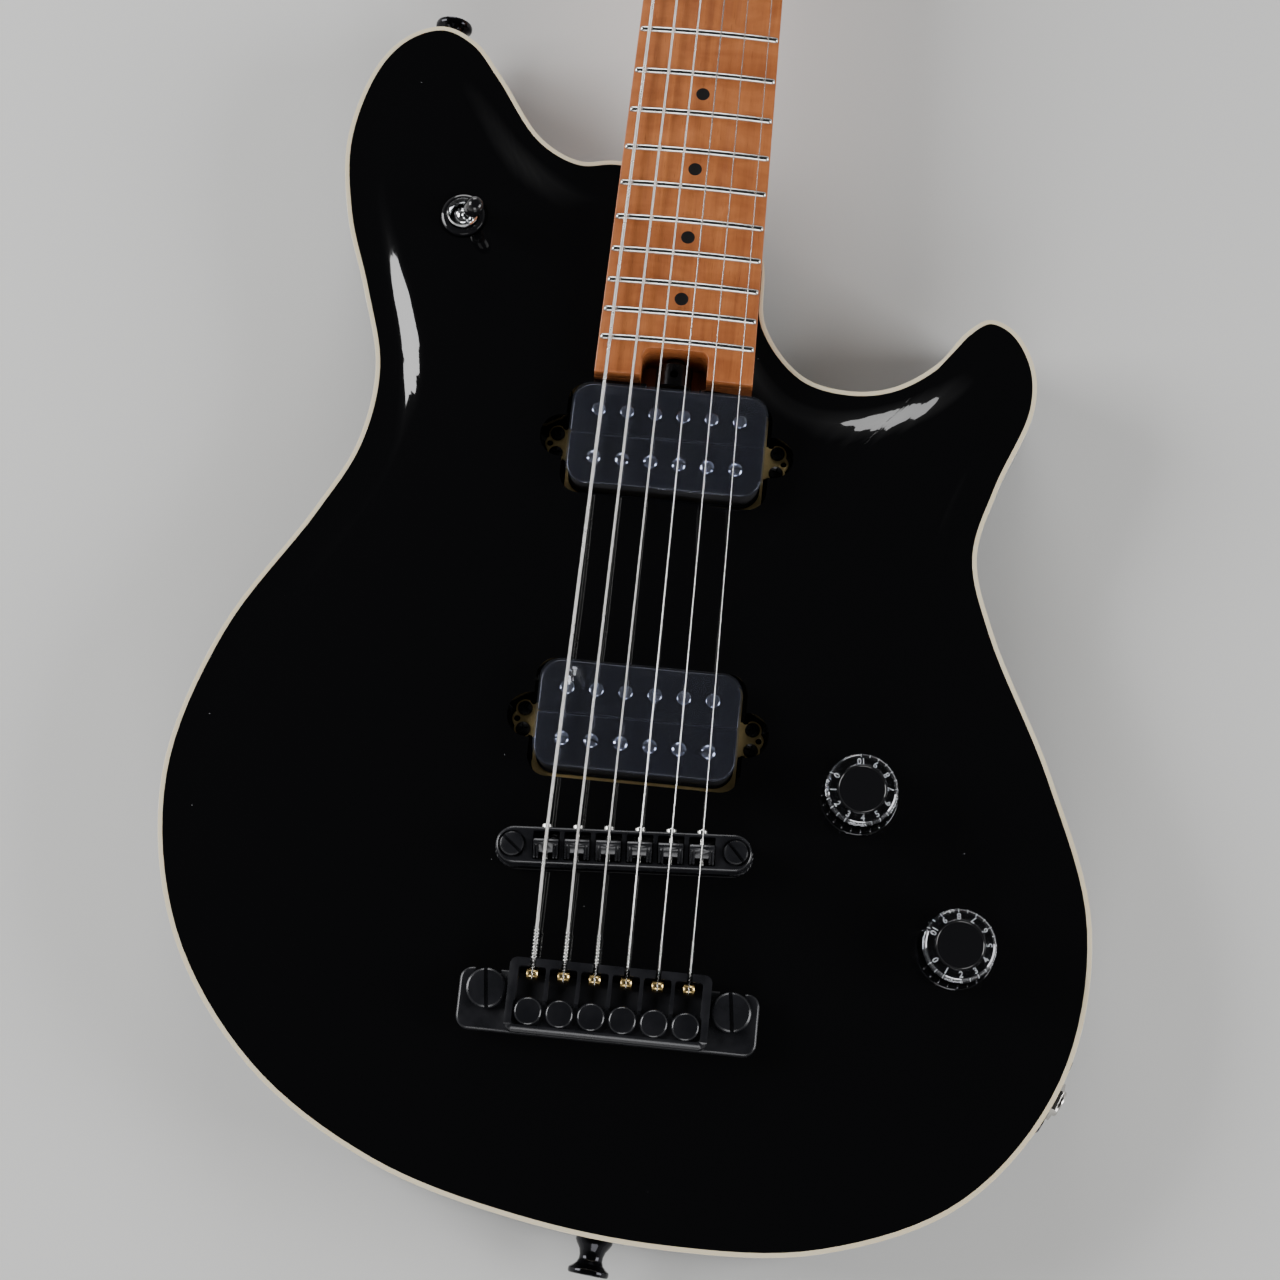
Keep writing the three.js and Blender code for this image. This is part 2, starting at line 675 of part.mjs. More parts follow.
/** The rout for one pickup, with a slot across it for the two ears and holes for the screws. */
function pickupCavity(pickup) {
  const clear = PICKUP_CAVITY_MARGIN;
  const high = EDGE_HEIGHT + ARCH_RISE + 1;
  const well = roundedRectangle(
    baseplateLength + 2 * clear,
    PICKUP_WIDTH + 2 * (BASEPLATE_MARGIN + clear),
    PICKUP_CORNER,
    0,
    pickup.y,
  );
  const earWidth = EAR_WIDTH + 2 * clear;
  const ears = roundedRectangle(earSpan + 2 * clear, earWidth, earWidth / 2.1, 0, pickup.y);
  let cutter = plate(well, PICKUP_CAVITY_FLOOR, high).add(
    plate(ears, PICKUP_CAVITY_FLOOR, high),
  );
  for (const [x, y] of pickupScrewPlaces) {
    const hole = bar(PICKUP_SCREW_RADIUS + GAP, pickupScrewEnd(pickup) - 1, -PICKUP_DEPTH, x, y, 6);
    cutter = cutter.add(moved(hole, pickup.frame));
  }
  return cutter;
}

for (const pickup of pickups) {
  const group = groupIn(pickup.frame);
  let base = plate(
    roundedRectangle(
      baseplateLength,
      PICKUP_WIDTH + 2 * BASEPLATE_MARGIN,
      PICKUP_CORNER,
    ),
    baseplateBottom,
    baseplateTop,
  ).add(
    plate(
      roundedRectangle(earSpan, EAR_WIDTH, EAR_WIDTH / 3),
      baseplateBottom,
      baseplateTop,
    ),
  );
  for (const [x, y] of pickupScrewPlaces) {
    const end = pickupScrewEnd(pickup);
    const headTop = baseplateTop + PICKUP_SCREW_HEAD_HEIGHT;
    const head = bar(PICKUP_SCREW_HEAD_RADIUS, baseplateBottom, headTop, x, y, 8);
    base = base.add(bar(PICKUP_SCREW_RADIUS, end, baseplateTop, x, y, 6)).add(head);
  }
  addPart(`${pickup.name}_plate`, base, "brass", group);
  const half = BOBBIN_SPLIT / 2;
  const split = block(-PICKUP_LENGTH, PICKUP_LENGTH, -half, half, -BOBBIN_SPLIT_DEPTH, 1);
  const bobbins = plate(
    roundedRectangle(PICKUP_LENGTH, PICKUP_WIDTH, PICKUP_CORNER),
    -PICKUP_DEPTH,
    0,
    6,
  ).subtract(split);
  addPart(pickup.name, bobbins, "glossBlackPlastic", group);
}

// ---------------------------------------------------------------- neck, fingerboard and nut

const screwSpots = [-1, 1].flatMap((side) =>
  [-1, 1].map((end) => [
    side * (PLATE_WIDTH / 2 - NECK_SCREW_INSET),
    boardEnd + PLATE_MARGIN + PLATE_LENGTH / 2 + end * (PLATE_LENGTH / 2 - NECK_SCREW_INSET),
  ]),
);
const neckPlateShape = (margin) =>
  roundedRectangle(
    PLATE_WIDTH + 2 * margin,
    PLATE_LENGTH + 2 * margin,
    NECK_SCREW_INSET + margin,
    0,
    boardEnd + PLATE_MARGIN + PLATE_LENGTH / 2,
  );

function neckScrewHoles() {
  return wasm.Manifold.union(
    screwSpots.map(([x, y]) =>
      bar(NECK_SCREW_RADIUS + GAP, PLATE_THICKNESS / 2, NECK_SCREW_LENGTH + 1, x, y, 10),
    ),
  );
}

function headstockShape() {
  const half = NUT_WIDTH / 2;
  const wide = HEADSTOCK_WIDTH / 2;
  const end = HEADSTOCK_LENGTH;
  const shape = new THREE.Shape();
  shape.moveTo(-half, 0);
  shape.lineTo(half, 0);
  shape.bezierCurveTo(half, 16, wide, 14, wide, 36);
  shape.lineTo(wide - 3, end - 52);
  shape.bezierCurveTo(wide - 4, end - 30, wide - 14, end - 12, wide - 24, end - 3);
  shape.quadraticCurveTo(0, end + 5, 24 - wide, end - 3);
  shape.bezierCurveTo(14 - wide, end - 12, 4 - wide, end - 30, 3 - wide, end - 52);
  shape.lineTo(-wide, 36);
  shape.bezierCurveTo(-wide, 14, -half, 16, -half, 0);
  return shape;
}

const neckGroup = groupIn(neckFrame);
const headstockInNeck = bodyToNeck.clone().multiply(headstockFrame);
const rodEnd = SCALE_LENGTH - ROD_END_MARGIN;
const wheelStart = boardEnd - WHEEL_OVERHANG;

function neckSolid() {
  const blend = heelMouth + HEEL_BLEND_LENGTH;
  const halfBlend = heelMouth + HEEL_BLEND_LENGTH * 0.4;
  const shaft = loft([
    neckSection(boardEnd, HEEL_DEPTH, SQUARE_SECTION),
    neckSection(heelMouth, HEEL_DEPTH, SQUARE_SECTION),
    neckSection(halfBlend, (HEEL_DEPTH + NECK_DEPTH_AT_HEEL) / 2, BLEND_SECTION),
    neckSection(blend, NECK_DEPTH_AT_HEEL, FULL_SECTION),
    neckSection(fretPlace(12), NECK_DEPTH_AT_HEEL, FULL_SECTION),
    neckSection(fretPlace(1), NECK_DEPTH_AT_NUT, ROUND_SECTION),
    neckSection(nutBack + VOLUTE_LENGTH / 3, NECK_DEPTH_AT_NUT, ROUND_SECTION),
    neckSection(nutBack + VOLUTE_LENGTH, NECK_DEPTH_AT_NUT - 1, ROUND_SECTION),
  ]);
  let head = plate(headstockShape(), -HEADSTOCK_THICKNESS, 0, 8);
  for (let number = 1; number <= 6; number += 1) {
    const { x, y } = tunerPlace(number);
    head = head.subtract(bar(BUSHING_RADIUS + GAP, -HEADSTOCK_THICKNESS - 1, 1, x, y));
  }
  const rodHole = barBetween(
    [0, boardEnd - 1, ROD_DEPTH],
    [0, rodEnd + 2, ROD_DEPTH],
    ROD_RADIUS + RUNNING,
    12,
  );
  return shaft
    .add(moved(head, headstockInNeck))
    .subtract(notchCutter())
    .subtract(rodHole)
    .subtract(moved(neckScrewHoles(), bodyToNeck));
}
addPart("neck", neckSolid(), "roastedMaple", neckGroup);

/** A strip that follows the crown across the board, between two places and two heights. */
function crownedStrip(y0, y1, low, high, overhang = 0) {
  const steps = 4;
  const section = (y) => {
    const half = widthAt(y) / 2 + overhang;
    const ring = [];
    for (let k = 0; k <= steps; k += 1) {
      const x = half * (1 - (2 * k) / steps);
      ring.push(new THREE.Vector3(x, y, high - crownDrop(x)));
    }
    ring.push(new THREE.Vector3(-half, y, low), new THREE.Vector3(half, y, low));
    return ring;
  };
  return loft([section(y0), section(y1)]);
}

function fingerboardSolid() {
  let board = crownedStrip(boardEnd, SCALE_LENGTH - GAP, -BOARD_THICKNESS, 0);
  for (let number = 1; number <= FRET_COUNT; number += 1) {
    const y = fretPlace(number);
    const low = -crownDrop(BOARD_END_WIDTH / 2) - 0.5;
    board = board.add(
      crownedStrip(y - FRET_WIDTH / 2, y + FRET_WIDTH / 2, low, FRET_HEIGHT, -0.4),
    );
  }
  return board.subtract(notchCutter());
}
addPart("fingerboard", fingerboardSolid(), "roastedMaple", neckGroup);

function nutSolid() {
  let nut = crownedStrip(SCALE_LENGTH, nutBack, -BOARD_THICKNESS, NUT_RISE, -0.1);
  for (let number = 1; number <= 6; number += 1) {
    const radius = stringRadius(number);
    const route = stringRoute(number).map((p) => p.applyMatrix4(bodyToNeck));
    const fall = (route[3].z - route[2].z) / (route[3].y - route[2].y);
    const drift = Math.abs(route[3].x - route[2].x) / (route[3].y - route[2].y);
    const floor = route[2].z - radius - GAP;
    const side = radius + GAP + (drift * NUT_THICKNESS) / 2;
    const middle = route[2].x + ((route[3].x - route[2].x) * NUT_THICKNESS) / 2 /
      (route[3].y - route[2].y);
    const before = SCALE_LENGTH - 1;
    const behind = nutBack + 1;
    const slot = bladeAcross(
      [
        [before, floor],
        [SCALE_LENGTH, floor],
        [behind, floor + fall * (NUT_THICKNESS + 1)],
        [behind, NUT_RISE + 1],
        [before, NUT_RISE + 1],
      ],
      middle - side,
      middle + side,
    );
    nut = nut.subtract(slot);
  }
  return nut;
}
addPart("nut", nutSolid(), "blackPlastic", neckGroup);

function trussRod() {
  const rod = barBetween([0, wheelStart, ROD_DEPTH], [0, rodEnd, ROD_DEPTH], ROD_RADIUS, 12);
  const wheelEnd = wheelStart + WHEEL_LENGTH;
  const wheel = barBetween([0, wheelStart, ROD_DEPTH], [0, wheelEnd, ROD_DEPTH], WHEEL_RADIUS, 16);
  const middle = wheelStart + WHEEL_LENGTH / 2;
  const reach = WHEEL_RADIUS + 1;
  const spokes = [0, 1].map((k) => {
    const angle = (Math.PI * k) / 2;
    const dx = reach * Math.sin(angle);
    const dz = reach * Math.cos(angle);
    const from = [-dx, middle, ROD_DEPTH - dz];
    return barBetween(from, [dx, middle, ROD_DEPTH + dz], WHEEL_SPOKE_RADIUS);
  });
  return wheel.subtract(spokes[0]).subtract(spokes[1]).add(rod);
}
addPart("truss_rod", trussRod(), "blackMetal", neckGroup);

function neckPlate() {
  const screws = screwSpots.map(([x, y]) =>
    bar(NECK_SCREW_RADIUS, PLATE_THICKNESS / 2, NECK_SCREW_LENGTH, x, y, 10),
  );
  return wasm.Manifold.union([plate(neckPlateShape(0), 0, PLATE_THICKNESS), ...screws]);
}
addPart("neck_plate", neckPlate(), "blackChrome");

// ---------------------------------------------------------------- tuners

const headGroup = groupIn(headstockInNeck, neckGroup);
const housingTop = -HEADSTOCK_THICKNESS - GAP;
const housingBottom = housingTop - HOUSING_DEPTH;
const wormHeight = housingTop - HOUSING_DEPTH / 2;
const headEdge = HEADSTOCK_WIDTH / 2;

for (let number = 1; number <= 6; number += 1) {
  const { side, x, y } = tunerPlace(number);
  const wormY = y + WORM_OFFSET;
  const buttonStart = headEdge + BUTTON_CLEARANCE;
  const postEnd = housingBottom + HOUSING_FLOOR;

  const shell = plate(
    roundedRectangle(HOUSING_WIDTH, HOUSING_LENGTH, HOUSING_CORNER, x, y + HOUSING_SHIFT),
    housingBottom,
    housingTop,
    2,
  )
    .add(bar(BUSHING_RADIUS, housingTop - 1, BUSHING_RISE - 0.5, x, y))
    .add(bar(BUSHING_FLANGE_RADIUS, GAP, BUSHING_RISE, x, y))
    .subtract(bar(POST_RADIUS + RUNNING, postEnd - RUNNING, BUSHING_RISE + 1, x, y))
    .subtract(
      barBetween(
        [x - side * (WORM_INNER_REACH + RUNNING), wormY, wormHeight],
        [side * (headEdge + 2), wormY, wormHeight],
        WORM_RADIUS + RUNNING,
      ),
    );
  addPart(`tuner_housing_${number}`, shell, "blackMetal", headGroup);

  const post = turned(
    [
      [0, postEnd],
      [POST_RADIUS, postEnd],
      [POST_RADIUS, WRAP_HEIGHT - 1],
      [POST_RADIUS, POST_RISE - 1],
      [POST_RADIUS - 1, POST_RISE],
      [0, POST_RISE],
    ],
    12,
  );
  addPart(
    `tuner_post_${number}`,
    moved(post, frameAt(x, y, 0)),
    "blackMetal",
    headGroup,
  );

  const tab = new THREE.Shape();
  tab.moveTo(0, -3);
  tab.bezierCurveTo(4, -3, 3, -BUTTON_WIDTH / 2, 8, -BUTTON_WIDTH / 2);
  tab.bezierCurveTo(BUTTON_LENGTH, -BUTTON_WIDTH / 2, BUTTON_LENGTH, -4, BUTTON_LENGTH, 0);
  tab.bezierCurveTo(BUTTON_LENGTH, 4, BUTTON_LENGTH, BUTTON_WIDTH / 2, 8, BUTTON_WIDTH / 2);
  tab.bezierCurveTo(3, BUTTON_WIDTH / 2, 4, 3, 0, 3);
  const grip = plate(tab, -BUTTON_THICKNESS / 2, BUTTON_THICKNESS / 2, 4);
  const facing = frameAt(side * buttonStart, wormY, wormHeight, UP, side > 0 ? 0 : Math.PI);
  const worm = barBetween(
    [x - side * WORM_INNER_REACH, wormY, wormHeight],
    [side * (buttonStart + 2), wormY, wormHeight],
    WORM_RADIUS,
  );
  addPart(`tuner_button_${number}`, moved(grip, facing).add(worm), "blackMetal", headGroup);
}

// ---------------------------------------------------------------- bridge

const bridgeGroup = groupIn(bridgeFrame);
const beamBottom = BEAM_TOP - BEAM_DEPTH;
const saddlePocketWidth = SADDLE_PITCH - SADDLE_DIVIDER;
const saddleRun = 6 * SADDLE_PITCH;
const postSpacing = saddleRun + 2 * BRIDGE_POST_MARGIN;
const beamLength = postSpacing + 2 * BEAM_END;
const bridgePostPlaces = [
  ["bass", -postSpacing / 2],
  ["treble", postSpacing / 2],
];

function bridgeBeam() {
  const shape = roundedRectangle(beamLength, BEAM_WIDTH, BEAM_WIDTH / 2 - 0.05);
  let beam = plate(shape, beamBottom, BEAM_TOP, 6);
  for (let number = 1; number <= 6; number += 1) {
    const x = saddleX(number);
    const half = saddlePocketWidth / 2;
    const reach = SADDLE_POCKET_LENGTH / 2;
    const floor = beamBottom + BEAM_FLOOR;
    beam = beam.subtract(block(x - half, x + half, -reach, reach, floor, BEAM_TOP + 1));
  }
  for (const [, x] of bridgePostPlaces) {
    beam = beam.subtract(bar(BRIDGE_POST_RADIUS + GAP, beamBottom - 1, BEAM_TOP + 1, x, 0));
  }
  return beam;
}
addPart("bridge_beam", bridgeBeam(), "blackMetal", bridgeGroup);

/** The height of the top under a place that is given in the bridge's frame. */
function topUnderBridge(x) {
  const place = new THREE.Vector3(x, 0, 0).applyMatrix4(bridgeFrame);
  return topHeight(place.x, place.y);
}

for (const [side, x] of bridgePostPlaces) {
  const seat = topUnderBridge(x) + GAP;
  const head = BEAM_TOP + GAP;
  const post = turned(
    [
      [0, seat - POST_BITE],
      [BRIDGE_BUSH_RADIUS, seat - POST_BITE],
      [BRIDGE_BUSH_RADIUS, seat],
      [THUMBWHEEL_RADIUS, seat],
      [THUMBWHEEL_RADIUS, beamBottom - GAP],
      [BRIDGE_POST_RADIUS, beamBottom - GAP],
      [BRIDGE_POST_RADIUS, head],
      [POST_HEAD_RADIUS, head],
      [POST_HEAD_RADIUS, head + POST_HEAD_HEIGHT],
      [0, head + POST_HEAD_HEIGHT],
    ],
    16,
  );
  addPart(`bridge_post_${side}`, moved(post, frameAt(x, 0, 0)), "blackMetal", bridgeGroup);
}

for (let number = 1; number <= 6; number += 1) {
  const crest = saddlePoint(number);
  const half = saddlePocketWidth / 2 - GAP;
  const low = beamBottom + BEAM_FLOOR + GAP;
  const high = crest.z - stringRadius(number) - GAP;
  const back = -SADDLE_LENGTH / 2;
  const front = SADDLE_LENGTH / 2;
  const saddle = bladeAcross(
    [
      [back, low],
      [front, low],
      [front, high - 2.2],
      [SADDLE_CREST + 0.4, high - 0.25],
      [SADDLE_CREST, high],
      [back, high - 3],
    ],
    crest.x - half,
    crest.x + half,
  );
  addPart(`saddle_${number}`, saddle, "blackMetal", bridgeGroup);
}

// ---------------------------------------------------------------- tailpiece

const wingY = TAIL_Y + TAIL_WING_SHIFT;
const tailBlockLength = saddleRun + 2 * TAIL_END_WALL;
const studSpacing = tailBlockLength + 2 * (STUD_HEAD_RADIUS + STUD_MARGIN);
const studPlaces = [
  ["bass", -studSpacing / 2],
  ["treble", studSpacing / 2],
];
const studY = TAIL_Y + STUD_SHIFT;
const studFlangeTop = TAIL_BOTTOM - GAP;

function tailpiece() {
  const middle = roundedRectangle(tailBlockLength, TAIL_BLOCK_WIDTH, 2, 0, TAIL_Y);
  const wingLength = studSpacing + 2 * TAIL_WING_END;
  const wings = roundedRectangle(wingLength, TAIL_WING_WIDTH, 4, 0, wingY);
  let bridge = plate(middle, TAIL_BOTTOM, TAIL_TOP, 3).add(
    plate(wings, TAIL_BOTTOM, TAIL_WING_TOP),
  );
  for (let number = 1; number <= 6; number += 1) {
    const x = saddleX(number);
    const start = tailFront - BALL_SETBACK + BALL_RADIUS + GAP;
    const wide = CHANNEL_WIDTH / 2;
    const narrow = STRING_SLOT_WIDTH / 2;
    const high = TAIL_TOP + 1;
    bridge = bridge
      .subtract(block(x - wide, x + wide, start - CHANNEL_LENGTH, start, CHANNEL_FLOOR, high))
      .subtract(block(x - narrow, x + narrow, start - 1, tailFront + 1, CHANNEL_FLOOR, high));
  }
  const clear = STUD_RADIUS + GAP;
  for (const [, x] of studPlaces) {
    const open = wingY + TAIL_WING_WIDTH / 2 + 1;
    bridge = bridge
      .subtract(bar(clear, TAIL_BOTTOM - 1, TAIL_TOP + 1, x, studY, 16))
      .subtract(block(x - clear, x + clear, studY, open, TAIL_BOTTOM - 1, TAIL_TOP + 1));
  }
  return bridge;
}
addPart("tailpiece", tailpiece(), "blackMetal");

for (const [side, x] of studPlaces) {
  const foot = topHeight(x, studY) + GAP;
  const flangeBottom = Math.max(foot, studFlangeTop - STUD_FLANGE_HEIGHT);
  const head = TAIL_WING_TOP + GAP;
  const stud = turned(
    [
      [0, foot - STUD_BITE],
      [STUD_RADIUS, foot - STUD_BITE],
      [STUD_RADIUS, flangeBottom],
      [STUD_HEAD_RADIUS, flangeBottom],
      [STUD_HEAD_RADIUS, studFlangeTop],
      [STUD_RADIUS, studFlangeTop],
      [STUD_RADIUS, head],
      [STUD_HEAD_RADIUS, head],
      [STUD_HEAD_RADIUS, head + STUD_HEAD_HEIGHT - STUD_EDGE],
      [STUD_HEAD_RADIUS - STUD_EDGE, head + STUD_HEAD_HEIGHT],
      [0, head + STUD_HEAD_HEIGHT],
    ],
    16,
  );
  addPart(`tail_stud_${side}`, moved(stud, frameAt(x, studY, 0)), "blackMetal");
}

// ---------------------------------------------------------------- strings

for (let number = 1; number <= 6; number += 1) {
  const route = stringRoute(number);
  const radius = stringRadius(number);
  const [ball] = route;
  const half = BALL_LENGTH / 2;
  const ballEnd = barBetween(
    [ball.x - half, ball.y, ball.z],
    [ball.x + half, ball.y, ball.z],
    BALL_RADIUS,
    10,
  );
  addPart(`string_${number}`, wire(route, radius).add(ballEnd), "steel");
}

// ---------------------------------------------------------------- controls

const volumePlace = onBody(VOLUME_PLACE);
const tonePlace = onBody(TONE_PLACE);
const switchPlace = onBody(SWITCH_PLACE);
const controlWells = [
  [...volumePlace, POT_WELL_RADIUS],
  [...tonePlace, POT_WELL_RADIUS],
  [...onBody(JACK_CAVITY_PLACE), JACK_WELL_RADIUS],
];
const switchWells = [[...switchPlace, SWITCH_WELL_RADIUS]];
const seatHeight = ([x, y]) => topHeight(x, y) - CONTROL_SEAT_DEPTH;

for (const [name, place] of [["volume", volumePlace], ["tone", tonePlace]]) {
  const seat = seatHeight(place);
  const canTop = CAVITY_CEILING - GAP;
  const canBottom = canTop - POT_DEPTH;
  const nutBottom = seat + GAP;
  const nutTop = nutBottom + POT_NUT_HEIGHT;
  const bushingEnd = nutTop + POT_BUSHING_RISE;
  const bore = POT_SHAFT_RADIUS + RUNNING;
  const pot = turned(
    [
      [0, canBottom],
      [POT_RADIUS, canBottom],
      [POT_RADIUS, canTop - 1.5],
      [POT_RADIUS - 2, canTop],
      [POT_BUSHING_RADIUS, canTop],
      [POT_BUSHING_RADIUS, nutBottom],
      [POT_NUT_RADIUS, nutBottom],
      [POT_NUT_RADIUS, nutTop],
      [POT_BUSHING_RADIUS, nutTop],
      [POT_BUSHING_RADIUS, bushingEnd],
      [bore, bushingEnd],
      [bore, canBottom + POT_FLOOR],
      [0, canBottom + POT_FLOOR],
    ],
    16,
  );
  addPart(`${name}_pot`, moved(pot, frameAt(...place, 0)), "steel");

  const base = seat + CONTROL_SEAT_DEPTH + KNOB_CLEARANCE;
  const top = base + KNOB_HEIGHT;
  const hollow = KNOB_BASE_RADIUS - KNOB_WALL;
  const shaftEnd = canBottom + POT_FLOOR + RUNNING;
  const knob = turned(
    [
      [0, shaftEnd],
      [POT_SHAFT_RADIUS, shaftEnd],
      [POT_SHAFT_RADIUS, base + KNOB_SKIRT],
      [hollow - 1, base + KNOB_SKIRT],
      [hollow, base],
      [KNOB_BASE_RADIUS, base],
      [KNOB_BASE_RADIUS, base + 1.5],
      [KNOB_TOP_RADIUS + 0.3, top - 2],
      [KNOB_TOP_RADIUS - 1, top],
      [0, top],
    ],
    20,
  );
  addPart(`${name}_knob`, moved(knob, frameAt(...place, 0)), "glossBlackPlastic");
}

const switchSeat = seatHeight(switchPlace);
const switchFrame = frameAt(...switchPlace, 0, UP, SWITCH_HEADING);
const leverPivot = switchSeat - LEVER_PIVOT_DEPTH;
const switchBushingEnd = switchSeat + SWITCH_BUSHING_RISE;

function switchBody() {
  const top = CAVITY_CEILING - GAP;
  const boreFloor = leverPivot - SWITCH_BORE_DEPTH;
  const shape = roundedRectangle(SWITCH_LENGTH, SWITCH_WIDTH, 2);
  return plate(shape, top - SWITCH_DEPTH, top, 2)
    .add(bar(SWITCH_BUSHING_RADIUS, top - 1, switchBushingEnd, 0, 0, 16))
    .subtract(bar(SWITCH_BORE_RADIUS, boreFloor, switchBushingEnd + 1, 0, 0, 16));
}
addPart("switch_body", moved(switchBody(), switchFrame), "chrome");

const switchNutTop = switchSeat + SWITCH_NUT_TOP;
const switchNut = bar(SWITCH_NUT_RADIUS, switchSeat + GAP, switchNutTop, 0, 0, 24).subtract(
  bar(SWITCH_BUSHING_RADIUS + GAP, switchSeat - 1, switchNutTop + 1, 0, 0, 16),
);
addPart("switch_nut", moved(switchNut, switchFrame), "glossBlackPlastic");

/** The lever, upright about its pivot ball. */
function switchLever() {
  const neckTop = LEVER_HEIGHT - LEVER_TIP_LENGTH;
  const ball = SWITCH_BORE_RADIUS - RUNNING;
  return turned(
    [
      [0, -LEVER_TAIL],
      [LEVER_RADIUS, -LEVER_TAIL],
      [LEVER_RADIUS, -ball],
      [ball * 0.8, -ball * 0.6],
      [ball, 0],
      [ball * 0.8, ball * 0.6],
      [LEVER_RADIUS, ball],
      [LEVER_RADIUS, neckTop],
      [LEVER_TIP_RADIUS - 1, neckTop],
      [LEVER_TIP_RADIUS, neckTop + 2],
      [LEVER_TIP_RADIUS, LEVER_HEIGHT - 2],
      [LEVER_TIP_RADIUS - 1.6, LEVER_HEIGHT],
      [0, LEVER_HEIGHT],
    ],
    12,
  );
}
const leverLean = new THREE.Vector3(0, 1, 0);
const leverFrame = switchFrame
  .clone()
  .multiply(frameAt(0, 0, leverPivot, leverLean, LEVER_LEAN));
addPart("switch_lever", moved(switchLever(), leverFrame), "chrome");

// The jack and its plate look out of the body's side, in a frame whose X is the way out.
const jackSide = sideNear(...onBody(JACK_PLACE));
const jackFrame = frameAt(jackSide.point.x, jackSide.point.y, JACK_HEIGHT, UP, jackSide.heading);
const jackGroup = groupIn(jackFrame);
const SIDEWAYS = new THREE.Matrix4().makeRotationY(Math.PI / 2);
const plateIn = -JACK_SEAT + GAP;
const plateOut = plateIn + JACK_PLATE_THICKNESS;

const jackPlate = moved(
  plate(
    roundedRectangle(JACK_PLATE_SIZE, JACK_PLATE_SIZE, JACK_PLATE_CORNER),
    plateIn,
    plateOut,
  ).subtract(bar(JACK_SLEEVE_RADIUS + GAP, plateIn - 1, plateOut + 1, 0, 0, 16)),
  SIDEWAYS,
);
addPart("jack_plate", jackPlate, "blackMetal", jackGroup);

function jackSocket() {
  const nutIn = plateOut + GAP;
  const outer = nutIn + JACK_RISE;
  const inner = outer - JACK_LENGTH;
  const flangeOut = plateIn - GAP;
  const sleeve = bar(JACK_SLEEVE_RADIUS, inner, outer, 0, 0, 16);
  const nut = bar(JACK_NUT_RADIUS, nutIn, nutIn + JACK_NUT_HEIGHT, 0, 0, 6);
  const flangeIn = flangeOut - JACK_FLANGE_THICKNESS;
  const flange = bar(JACK_NUT_RADIUS, flangeIn, flangeOut, 0, 0, 12);
  const bore = bar(JACK_BORE_RADIUS, inner - 1, outer + 1, 0, 0, 16);
  return moved(sleeve.add(nut).add(flange).subtract(bore), SIDEWAYS);
}
addPart("jack_socket", jackSocket(), "chrome", jackGroup);

// ---------------------------------------------------------------- strap buttons

const strapPlaces = [
  ["horn", sideNear(...onBody(HORN_STRAP_PLACE))],
  ["end", sideNear(...onBody(END_STRAP_PLACE))],
].map(([name, { point, heading }]) => ({
  name,
  frame: frameAt(point.x, point.y, STRAP_HEIGHT, UP, heading),
}));

function strapButton() {
  const foot = -STRAP_SEAT + GAP;
  return turned(
    [
      [0, -STRAP_SCREW_LENGTH],
      [STRAP_SCREW_RADIUS, -STRAP_SCREW_LENGTH],
      [STRAP_SCREW_RADIUS, foot],
      [STRAP_BASE_RADIUS, foot],
      [STRAP_BASE_RADIUS - 0.4, foot + 1.5],
      [STRAP_WAIST_RADIUS, foot + 5],
      [STRAP_WAIST_RADIUS, foot + 8],
      [STRAP_FLANGE_RADIUS, foot + 10.5],
      [STRAP_FLANGE_RADIUS, foot + 12],
      [STRAP_BASE_RADIUS - 1, foot + STRAP_LENGTH],
      [0, foot + STRAP_LENGTH],
    ],
    16,
  );
}
for (const { name, frame } of strapPlaces) {
  const button = moved(moved(strapButton(), SIDEWAYS), frame);
  addPart(`strap_button_${name}`, button, "blackMetal");
}

// ---------------------------------------------------------------- body, binding and covers

/** The pocket that holds the neck's heel, open towards the headstock and upwards. */
function neckPocket() {
  const low = woodTop - HEEL_DEPTH - GAP;
  const high = EDGE_HEIGHT;
  const section = (y) => {
    const half = widthAt(y) / 2 + GAP;
    return [
      new THREE.Vector3(half, y, low),
      new THREE.Vector3(half, y, high),
      new THREE.Vector3(-half, y, high),
      new THREE.Vector3(-half, y, low),
    ];
  };
  const pocket = loft([section(boardEnd - GAP), section(heelMouth + HEEL_LENGTH)]);
  const relief = WHEEL_RADIUS + WHEEL_RELIEF;
  const wheelRelief = block(-relief, relief, boardEnd - POCKET_RELIEF, boardEnd, NOTCH_FLOOR, high);
  return moved(pocket.add(wheelRelief), neckFrame);
}

